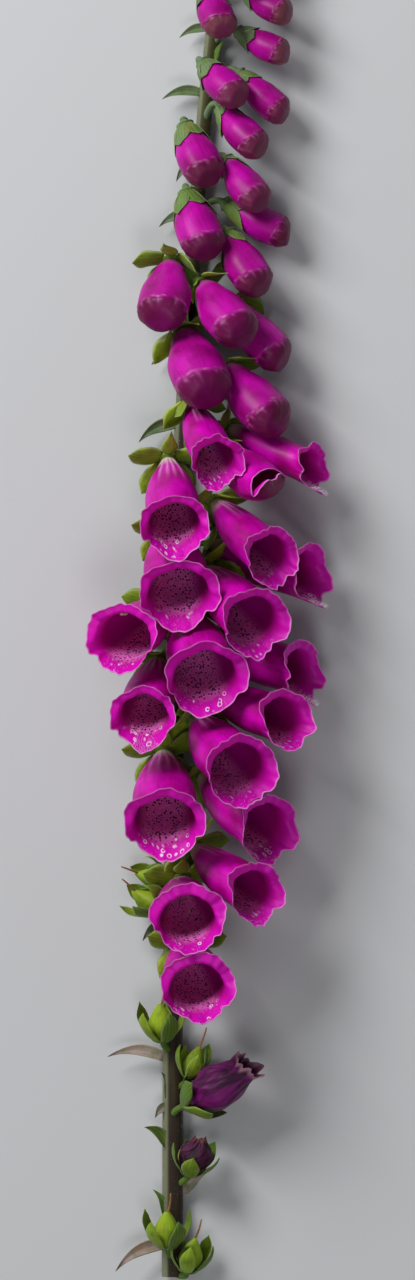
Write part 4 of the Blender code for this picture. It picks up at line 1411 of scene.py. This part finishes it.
@dataclass
class Calyx:
    """A flower's own stalk, receptacle and sepals, with the pistil or the capsule on it."""

    bloom: Bloom
    blooms: list
    node: str
    seed: int
    ovate: tuple = (
        (0, 0.62), (0.15, 0.85), (0.32, 1.0), (0.5, 1.02), (0.66, 0.88), (0.8, 0.6), (0.91, 0.28), (1, 0.03),
    )
    pointed: tuple = (
        (0, 0.7), (0.15, 0.95), (0.3, 1.0), (0.45, 0.88), (0.62, 0.62), (0.8, 0.32), (0.92, 0.12), (1, 0.03),
    )
    # The top sepal of a bell is longer and narrower than the rest, by these shares.
    top_longer: float = 0.3
    top_narrower: float = 0.72
    # How far sepals go down or up from their middle rib, and how pale their margins are, spread
    # ones first, and how much one sepal is older than the next.
    folds: tuple = (-0.14, 0.1)
    rims: tuple = (0.4, 0.12)
    age_step: float = 0.055
    # The pistil, from under its ovary to the stigma: share along, share of the way up to the roof,
    # and radius in mm.
    pistil: tuple = (
        (-0.04, 0, 1.1), (0.03, 0, 1.1), (0.09, 0.05, 1.5), (0.15, 0.1, 1.6), (0.22, 0.25, 0.9),
        (0.38, 0.6, 0.42), (0.55, 0.78, 0.4), (0.7, 0.82, 0.46),
    )
    # Each stamen's angle from the roof, and how far along its anther is.
    stamens: tuple = ((-22, 0.66), (22, 0.63), (-44, 0.5), (44, 0.48))
    filament: float = 0.3
    anther: tuple = (0.1, 0.5, 0.72, 0.78, 0.72, 0.5, 0.1)

    @property
    def leafy(self) -> bool:
        """Whether it is a bud so far on that its sepals already spread."""
        return self.bloom.flower.kind is Kind.BUD and self.bloom.flower.length > LEAFY_BUD

    def sepal(self, i: int) -> list:
        """Finds one sepal's widest line and tip, as its solid has them.

        Args:
            i: Which sepal.

        Returns:
            Its left and right corner and its tip, in the flower's frame.
        """
        bloom = self.bloom
        reach, width, first, second = LEAFY_CALYX if self.leafy else CALYXES[bloom.flower.kind]
        angle = math.radians(360 / SEPALS * i)
        out = np.array([math.sin(angle), math.cos(angle), 0])
        across = np.array([math.cos(angle), -math.sin(angle), 0]) * min(width, bloom.flower.width * 0.5)
        corners = []
        for less, size in SEPAL_CHOICES:
            half = (bloom.flower.length * reach + 1) * (0.8 if i == 0 else 1) * size / 2
            far, high = bloom.half_width(0) + SEAT_RIM, -SEAT_GAP
            knots = []
            for spread in (first - less, second - less):
                far += half * math.sin(math.radians(spread))
                high += half * math.cos(math.radians(spread))
                far = max(far, bloom.half_width(high / bloom.flower.length) + 1.1)
                knots.append(out * far + (0, 0, high))
            corners = [knots[0] - across * size / 2, knots[0] + across * size / 2, knots[1]]
            if clear(list(bloom.place(corners)), self.blooms, but=bloom):
                break
        return corners

    def pedicel(self) -> tuple:
        """Finds the flower's own stalk.

        Returns:
            Where it starts, its knee and its neck, and its radius, in mm.
        """
        bloom = self.bloom
        neck = bloom.base - bloom.axis * (SEAT_GAP + RECEPTACLE_DEPTH)
        start, knee = neck, neck
        for drop, arch in PEDICEL_CHOICES:
            start = stalk_centres(max(FOOT + 2, bloom.base[1] - drop))[0]
            knee = start * 0.35 + neck * 0.65 - bloom.axis * arch + (0, 1, 0)
            if clear([start * 0.5 + knee * 0.5, knee, neck], self.blooms, room=PEDICEL_ROOM):
                break
        radius = min(PEDICEL_RADIUS, 0.75 * float(stalk_radius(start[1])))
        for place in (knee, neck):
            place[2] = max(place[2], radius + 0.3)
        return start, knee, neck, radius

    def stem(self, sketch: Sketch, age: float) -> None:
        """Adds the flower's own stalk, which widens into its receptacle.

        Args:
            sketch: The sketch.
            age: How grey it is, 0 to 1.
        """
        bloom = self.bloom
        start, knee, neck, radius = self.pedicel()
        seat = bloom.half_width(0) + SEAT_RIM
        t = np.linspace(0, 1, 9)[:, None]
        pull = knee * 1.6 - (start + neck) * 0.3
        path = (1 - t) ** 2 * start + 2 * t * (1 - t) * pull + t**2 * neck
        path[:, 2] = np.maximum(path[:, 2], radius + 0.2)
        top = [neck + bloom.axis * step for step in (1.0, 1.9, RECEPTACLE_DEPTH - 0.5, RECEPTACLE_DEPTH)]
        radii = [*np.linspace(radius * 1.05, radius, 9), radius * 1.15, seat * 0.8, seat + 0.3, seat]
        sketch.sweep(np.concatenate([path, top]), radii, 14, (0.4, 0.0, age), slot=0)

    def build(self, wardrobe: Wardrobe) -> None:
        """Builds the calyx with what stands on it.

        Args:
            wardrobe: The finishes.
        """
        bloom, kind = self.bloom, self.bloom.flower.kind
        age = AGES.get(kind, 0.1)
        if kind is Kind.BUD:
            age = float(np.interp(bloom.flower.length, (22, 29, 32), (0.42, 0.3, 0.12)))
        sketch = Sketch(f"{self.node}_calyx")
        self.stem(sketch, age + 0.1)
        if kind is Kind.CLOSED:
            self.swelling(sketch, 20, 12, 0.4)
        else:
            seat = bloom.half_width(0) + SEAT_RIM
            for i in range(SEPALS):
                left, right, tip = self.sepal(i)
                if kind is Kind.BUD and not self.leafy:
                    self.hugging(sketch, i, float(np.linalg.norm(right - left)), tip[2], age)
                    continue
                angle = math.radians(360 / SEPALS * i)
                out = np.array([math.sin(angle), math.cos(angle), 0])
                root = out * (seat - 0.5) - (0, 0, SEAT_GAP + SEPAL_SINK)
                spots = bloom.place([root, (left + right) / 2, tip, right - left])
                across = unit(spots[3] - bloom.base)
                width = float(np.linalg.norm(right - left)) * (1.35 if kind is Kind.CAPSULE else 1.15)
                shut = not (kind is Kind.BELL or self.leafy)
                if i == 0 and not shut:
                    spots[2] = spots[2] + (spots[2] - spots[0]) * self.top_longer
                    width *= self.top_narrower
                outline = self.pointed if i == 0 else self.ovate
                Blade(
                    *spots[:3], across, width, outline, age + self.age_step * (i % 3),
                    fold=self.folds[shut], rim=self.rims[shut],
                ).add(sketch, self.seed * 7 + i)
        if kind in (Kind.BELL, Kind.OPENING):
            self.organs(sketch)
        if kind is Kind.CAPSULE:
            self.swelling(sketch, 28, 18, 0.05)
            end = bloom.flower.length
            t = np.linspace(0, 1, 8)[:, None]
            low, high = bloom.place((0, 0, end * 0.86)), bloom.place((2, 1, end + 8))
            curl = bloom.frame()[0] * np.sin(t * np.pi) * 0.5
            sketch.sweep(low + (high - low) * t + curl, np.linspace(0.5, 0.3, 8), 8, slot=3)
        finishes = [wardrobe.leaf, wardrobe.style, wardrobe.anther, wardrobe.dried]
        sketch.build(finishes, None, "green")

    def hugging(self, sketch: Sketch, i: int, width: float, reach: float, age: float) -> None:
        """Adds a bud's sepal, which lies on the bud like part of a cup.

        Args:
            sketch: The sketch.
            i: Which sepal.
            width: Its solid's width, in mm.
            reach: How far along the bud it goes, in mm.
            age: How grey it is, 0 to 1.
        """
        bloom, draw = self.bloom, np.random.default_rng(self.seed * 11 + i)
        t = np.linspace(0, 1, 15)[:, None]
        x = np.concatenate([np.linspace(1, -1, 13), np.linspace(-0.8, 0.8, 9)])
        side = np.concatenate([np.ones(13), -np.ones(9)])
        start = -SEAT_GAP - SEPAL_SINK
        along = start + (reach - start) * t * (1 + 0.06 * draw.uniform(-1, 1))
        share = along / bloom.flower.length * np.ones_like(x)
        half = np.interp(t, [p for p, _ in self.ovate], [w for _, w in self.ovate]) * width * 0.78
        gap = 0.55 + 0.28 * (i % 2) + 0.35 * ease(0.75, 1, t) + 0.12 * np.sin(7 * t + draw.uniform(0, 6))
        gap = gap + bloom.fullness(share)
        radius = bloom.half(share) + gap
        degrees = 360 / SEPALS * i + np.degrees(half * x / radius) + 3 * draw.uniform(-1, 1) * t
        thick = 0.24 * np.sqrt(np.clip(1.04 - x**2, 0, 1)) * side * (1 - 0.5 * t)
        keel = 0.3 * bump(0, 0.1, x) * (1 - t)
        puckers = 0.12 * np.sin(3 * np.pi * x + draw.uniform(0, 6)) * ease(0, 0.3, t)
        points = bloom.place(bloom.skin(degrees, share, gap + thick + keel + puckers))
        coords = np.stack(np.broadcast_arrays(half * x, along + 9.0 * self.seed, 5.0 * i + 0 * x), -1)
        pale = ease(0.85, 1.0, np.abs(x))[None] * np.ones_like(t) * 0.45
        place = (t * np.ones_like(x), x[None] + 0 * t, min(1, age + 0.05 * (i % 3)))
        sketch.loft(points, coords, place, pale)

    def swelling(self, sketch: Sketch, columns: int, rows: int, age: float) -> None:
        """Adds a seed capsule with its groove, or a bud still shut in its calyx.

        Args:
            sketch: The sketch.
            columns: Points a ring.
            rows: Rings.
            age: How grey it is, 0 to 1.
        """
        bloom = self.bloom
        share, degrees = tube(np.linspace(bloom.profile[0][0], 1, rows), columns)
        groove = bump(90, 9, np.abs(degrees)) * 0.4 * np.sin(np.clip(share, 0, 1) * np.pi)
        points = bloom.place(bloom.skin(degrees, share, -groove))
        angle = np.radians(degrees)
        coords = np.stack([np.sin(angle) * 4, np.cos(angle) * 4, share * bloom.flower.length], -1)
        sketch.loft(points, coords + 31 * self.seed, (share, degrees / 180, age), groove * 0.5)

    def organs(self, sketch: Sketch) -> None:
        """Adds the pistil, and the two pairs of stamens that lie under the roof.

        Args:
            sketch: The sketch.
        """
        bloom = self.bloom
        share, up, radii = np.array(self.pistil).T
        line = bloom.core(share)
        line[:, 1] += bloom.half(share) * FLATNESS * up
        sketch.sweep(bloom.place(line), radii, 8, slot=1)
        for side, end in self.stamens:
            share = np.linspace(0.1, end, 8)
            reach = bloom.half(share) * np.linspace(0.66, 0.78, 8)
            angle = math.radians(side)
            line = bloom.core(share)
            line[:, 0] += reach * math.sin(angle)
            line[:, 1] += reach * math.cos(angle) * FLATNESS
            sketch.sweep(bloom.place(line), np.full(8, self.filament), 6, slot=1)
            for lean in (-0.6, 0.6):
                pod = line[-1] + np.linspace(-1, 1, 7)[:, None] * (0.7 * lean, 0.1, 1.3) + (lean, 0, 0.2)
                sketch.sweep(bloom.place(pod), self.anther, 8, slot=2)


@dataclass
class Stalk:
    """The main stalk from its cut foot to the tip, with its bracts and down."""

    rings: int = 150
    columns: int = 40
    hair_count: int = 2400
    # Ribs that wind up the stalk: how many, how high as a share of its radius, radians a mm.
    ribs: int = 5
    rib_height: float = 0.022
    rib_turn: float = 0.01
    # A bract placed by rule sits this far below its flower, in mm, and has this length and width.
    bract_lag: float = 10
    bract_size: tuple = (13, 4)
    lance: tuple = (
        (0, 0.72), (0.2, 0.98), (0.38, 1.0), (0.55, 0.82), (0.72, 0.52), (0.88, 0.24), (1, 0.04),
    )

    def build(self, wardrobe: Wardrobe, blooms: list[Bloom], flowers: list[Bloom]) -> None:
        """Builds the stalk and the bracts on it.

        Args:
            wardrobe: The finishes.
            blooms: The corollas that bracts keep off.
            flowers: Those of the list, for the bracts placed by rule.
        """
        sketch = Sketch("stalk_and_bracts")
        heights = np.linspace(FOOT, TIP, self.rings)
        centres, radius = stalk_centres(heights), stalk_radius(heights)
        turn = np.radians(np.linspace(-180, 180, self.columns, endpoint=False))
        winding = np.sin(self.ribs * turn + self.rib_turn * heights[:, None])
        ridges = 1 + self.rib_height * winding - self.rib_height
        across = np.stack([np.sin(turn), 0 * turn, np.cos(turn)], -1)
        points = centres[:, None] + across[None] * (radius[:, None] * ridges)[..., None]
        points[..., 2] = np.maximum(points[..., 2], 0)
        coords = np.stack(np.broadcast_arrays(across[:, 0] * 4, across[:, 2] * 4, heights[:, None]), -1)
        place = ((heights[:, None] - FOOT) / (TIP - FOOT), across[None, :, 0] + 0 * heights[:, None], 0.3)
        sketch.loft(points, coords, place, 0.0, 0, (False, True))
        rim = points[0]
        steps = np.array([1.0, 0.86, 0.45, 0.02])[:, None, None]
        face = (centres[0] + (rim - centres[0]) * steps)[::-1]
        sketch.loft(face, face, (0.0, 0.0, 0.3), 0.0, 3, (True, False))
        for i, (bract, spots) in enumerate(self.bracts(blooms, flowers)):
            root, middle, tip, side = spots
            Blade(root, middle, tip, side, bract.width * 1.1, self.lance, bract.age, 0.2).add(sketch, i, 1)
        self.down(sketch)
        finishes = [wardrobe.stem, wardrobe.leaf, wardrobe.hair, wardrobe.pith]
        sketch.build(finishes, "stalk_with_calyxes", "green")

    def spots(self, bract: Bract) -> tuple:
        """Finds where a bract lies.

        Args:
            bract: The bract.

        Returns:
            Its root, its widest point and its tip, in mm, and the way across it.
        """
        out = around(bract.turn)
        lift, sink = math.radians(bract.lift + 15), math.radians(bract.lift - 15)
        first = out * math.cos(lift) + np.array([0.0, math.sin(lift), 0.0])
        second = out * math.cos(sink) + np.array([0.0, math.sin(sink), 0.0])
        side = unit(np.cross(first, np.cross(np.array([0.0, 1.0, 0.0]), out)))
        root = stalk_centres(bract.height)[0] + out * (stalk_radius(bract.height) - 0.8)
        middle = root + first * bract.length * 0.45
        return root, middle, middle + second * bract.length * 0.55, side

    def bracts(self, blooms: list[Bloom], flowers: list[Bloom]) -> list:
        """Lists every bract with its spots: the named ones, then those under the bells.

        Args:
            blooms: The corollas that bracts keep off.
            flowers: Those of the list, for the bracts placed by rule.

        Returns:
            Pairs of a bract and its spots.
        """
        found = [(bract, self.spots(bract)) for bract in BRACTS]
        for bloom in flowers[BRACTLESS]:
            height, turn = bloom.flower.height - self.bract_lag, bloom.flower.turn
            choices = [(swing, lift) for swing in (-60, 60, -90, 90) for lift in (60, 30, 0, -40)]
            for swing, lift in choices:
                bract = Bract(height, max(-95, min(95, turn + swing)), lift, *self.bract_size)
                root, middle, tip, side = self.spots(bract)
                edge = side * bract.width / 2
                thick = unit(np.cross(side, middle - root)) * 0.35
                sheets = [[middle - edge + h, tip + h, middle + edge + h] for h in (-thick, thick)]
                if all(clear(sheet, blooms) for sheet in sheets):
                    found.append((bract, (root, middle, tip, side)))
                    break
        return found

    def down(self, sketch: Sketch) -> None:
        """Adds the stalk's short pale down, not on its back, where it lies.

        Args:
            sketch: The sketch.
        """
        draw, count = np.random.default_rng(5), self.hair_count
        heights, turns = draw.uniform(FOOT + 1, TIP - 4, count), draw.uniform(-115, 115, count)
        out = np.stack([np.sin(np.radians(turns)), 0 * turns, np.cos(np.radians(turns))], -1)
        roots = stalk_centres(heights) + out * (stalk_radius(heights) * 0.95)[:, None]
        ways = out + draw.normal(0, 0.25, out.shape)
        sketch.hairs(roots, ways, draw.uniform(0.3, 0.8, count), 0.035, 2)


@dataclass
class Studio:
    """A pale floor, soft lights and the camera that looks straight down, in metres."""

    distance: float = 5.0
    middle: tuple = (0.0127, 0.0)
    span: float = 0.512
    level: float = 0.03
    sensor: float = 36.0
    sight: float = 20.0
    floor_half: float = 4.0
    floor_drop: float = 0.0005
    # Each softbox: its name, place, width, power in watts and colour.
    softboxes: tuple = (
        ("sky_softbox", (-0.95, 1.1, 1.15), 0.8, 33.0, "#fdfbff"),
        ("fill_softbox", (0.0, -0.95, 1.7), 0.7, 7.0, "#fffaff"),
    )

    def build(self) -> None:
        """Builds the studio."""
        self.floor()
        for softbox in self.softboxes:
            self.light(*softbox)
        world = bpy.data.worlds.new("studio_air")
        bpy.context.scene.world = world
        world.use_nodes = True
        air = world.node_tree.nodes["Background"].inputs
        air["Color"].default_value, air["Strength"].default_value = linear("#dfe4ea"), 0.2
        bpy.context.scene.view_settings.view_transform = "Standard"
        self.camera()

    def floor(self) -> None:
        """Lays a sheet of mat background paper: pale and even, with no shine of its own."""
        half, low = self.floor_half, -self.floor_drop
        mesh = bpy.data.meshes.new("studio_floor")
        corners = [(-half, -half, low), (half, -half, low), (half, half, low), (-half, half, low)]
        mesh.from_pydata(corners, [], [(0, 1, 2, 3)])
        floor = bpy.data.objects.new("studio_floor", mesh)
        bpy.context.scene.collection.objects.link(floor)
        paper = bpy.data.materials.new("studio_paper")
        paper.use_nodes = True
        shader = paper.node_tree.nodes["Principled BSDF"]
        shader.inputs["Base Color"].default_value = linear("#c9cccb")
        shader.inputs["Roughness"].default_value = 0.9
        mesh.materials.append(paper)

    def light(self, name: str, spot: tuple, size: float, power: float, colour: str) -> None:
        """Adds a square soft light aimed at the spike.

        Args:
            name: Its name.
            spot: Where it hangs.
            size: Its width.
            power: Its power, in watts.
            colour: Its colour, as "#rrggbb".
        """
        data = bpy.data.lights.new(name, "AREA")
        data.shape, data.size, data.energy = "SQUARE", size, power
        data.color = linear(colour)[:3]
        lamp = bpy.data.objects.new(name, data)
        bpy.context.scene.collection.objects.link(lamp)
        lamp.location = spot
        aim = -np.array(spot) + (self.middle[0], 0, self.level)
        flat = math.hypot(aim[0], aim[1])
        lamp.rotation_euler = (math.atan2(flat, -aim[2]), 0, math.atan2(-aim[0], aim[1]))

    def camera(self) -> None:
        """Adds the long-lensed camera above the spike."""
        data = bpy.data.cameras.new("overhead_camera")
        data.sensor_fit, data.sensor_height = "VERTICAL", self.sensor
        data.lens = data.sensor_height * (self.distance - self.level) / self.span
        data.clip_end = self.sight
        camera = bpy.data.objects.new("overhead_camera", data)
        bpy.context.scene.collection.objects.link(camera)
        camera.location = (*self.middle, self.distance)
        bpy.context.scene.camera = camera


def main() -> None:
    """Builds the studio and the spike, and reports each piece."""
    logging.basicConfig(level=logging.INFO, format="%(name)s: %(message)s")
    Studio().build()
    wardrobe = Wardrobe()
    top = [Bloom(flower) for flower in tip_flowers()]
    shut = [bloom for bloom in top if bloom.flower.kind is Kind.CLOSED]
    blooms = [bloom for bloom in top if bloom.flower.kind is Kind.BUD]
    blooms += [Bloom(flower) for flower in FLOWERS]
    jostle(blooms)
    counts: dict = {}
    for i, bloom in enumerate(blooms):
        kind = bloom.flower.kind
        counts[kind] = counts.get(kind, 0) + 1
        numbered = kind in (Kind.BUD, Kind.BELL)
        node = f"{kind.value}_{counts[kind]:02d}" if numbered else f"{kind.value}_bell"
        height = int(bloom.flower.height) if kind is Kind.BELL else None
        corolla = Corolla(
            bloom, node, i + 1, TONGUES.get(height, 0.0), RINGED.get(height, 0.0), FLARED.get(height, 1.0)
        )
        if kind is Kind.BUD:
            corolla.bud(wardrobe, float(np.clip((30 - bloom.flower.length) / 14, 0, 0.85)))
        elif bloom.lobed and kind is not Kind.WILTED:
            corolla.bell(wardrobe)
        else:
            corolla.spent(wardrobe)
        Calyx(bloom, blooms, node, i + 1).build(wardrobe)
    for i, flower in enumerate(CAPSULES):
        Calyx(Bloom(flower), blooms, f"capsule_{i + 1:02d}", 80 + i).build(wardrobe)
    for i, bloom in enumerate(shut):
        Calyx(bloom, blooms, f"shut_bud_{i + 1:02d}", 90 + i).build(wardrobe)
    Stalk().build(wardrobe, blooms, blooms[-len(FLOWERS) :])


if __name__ == "__main__":
    main()
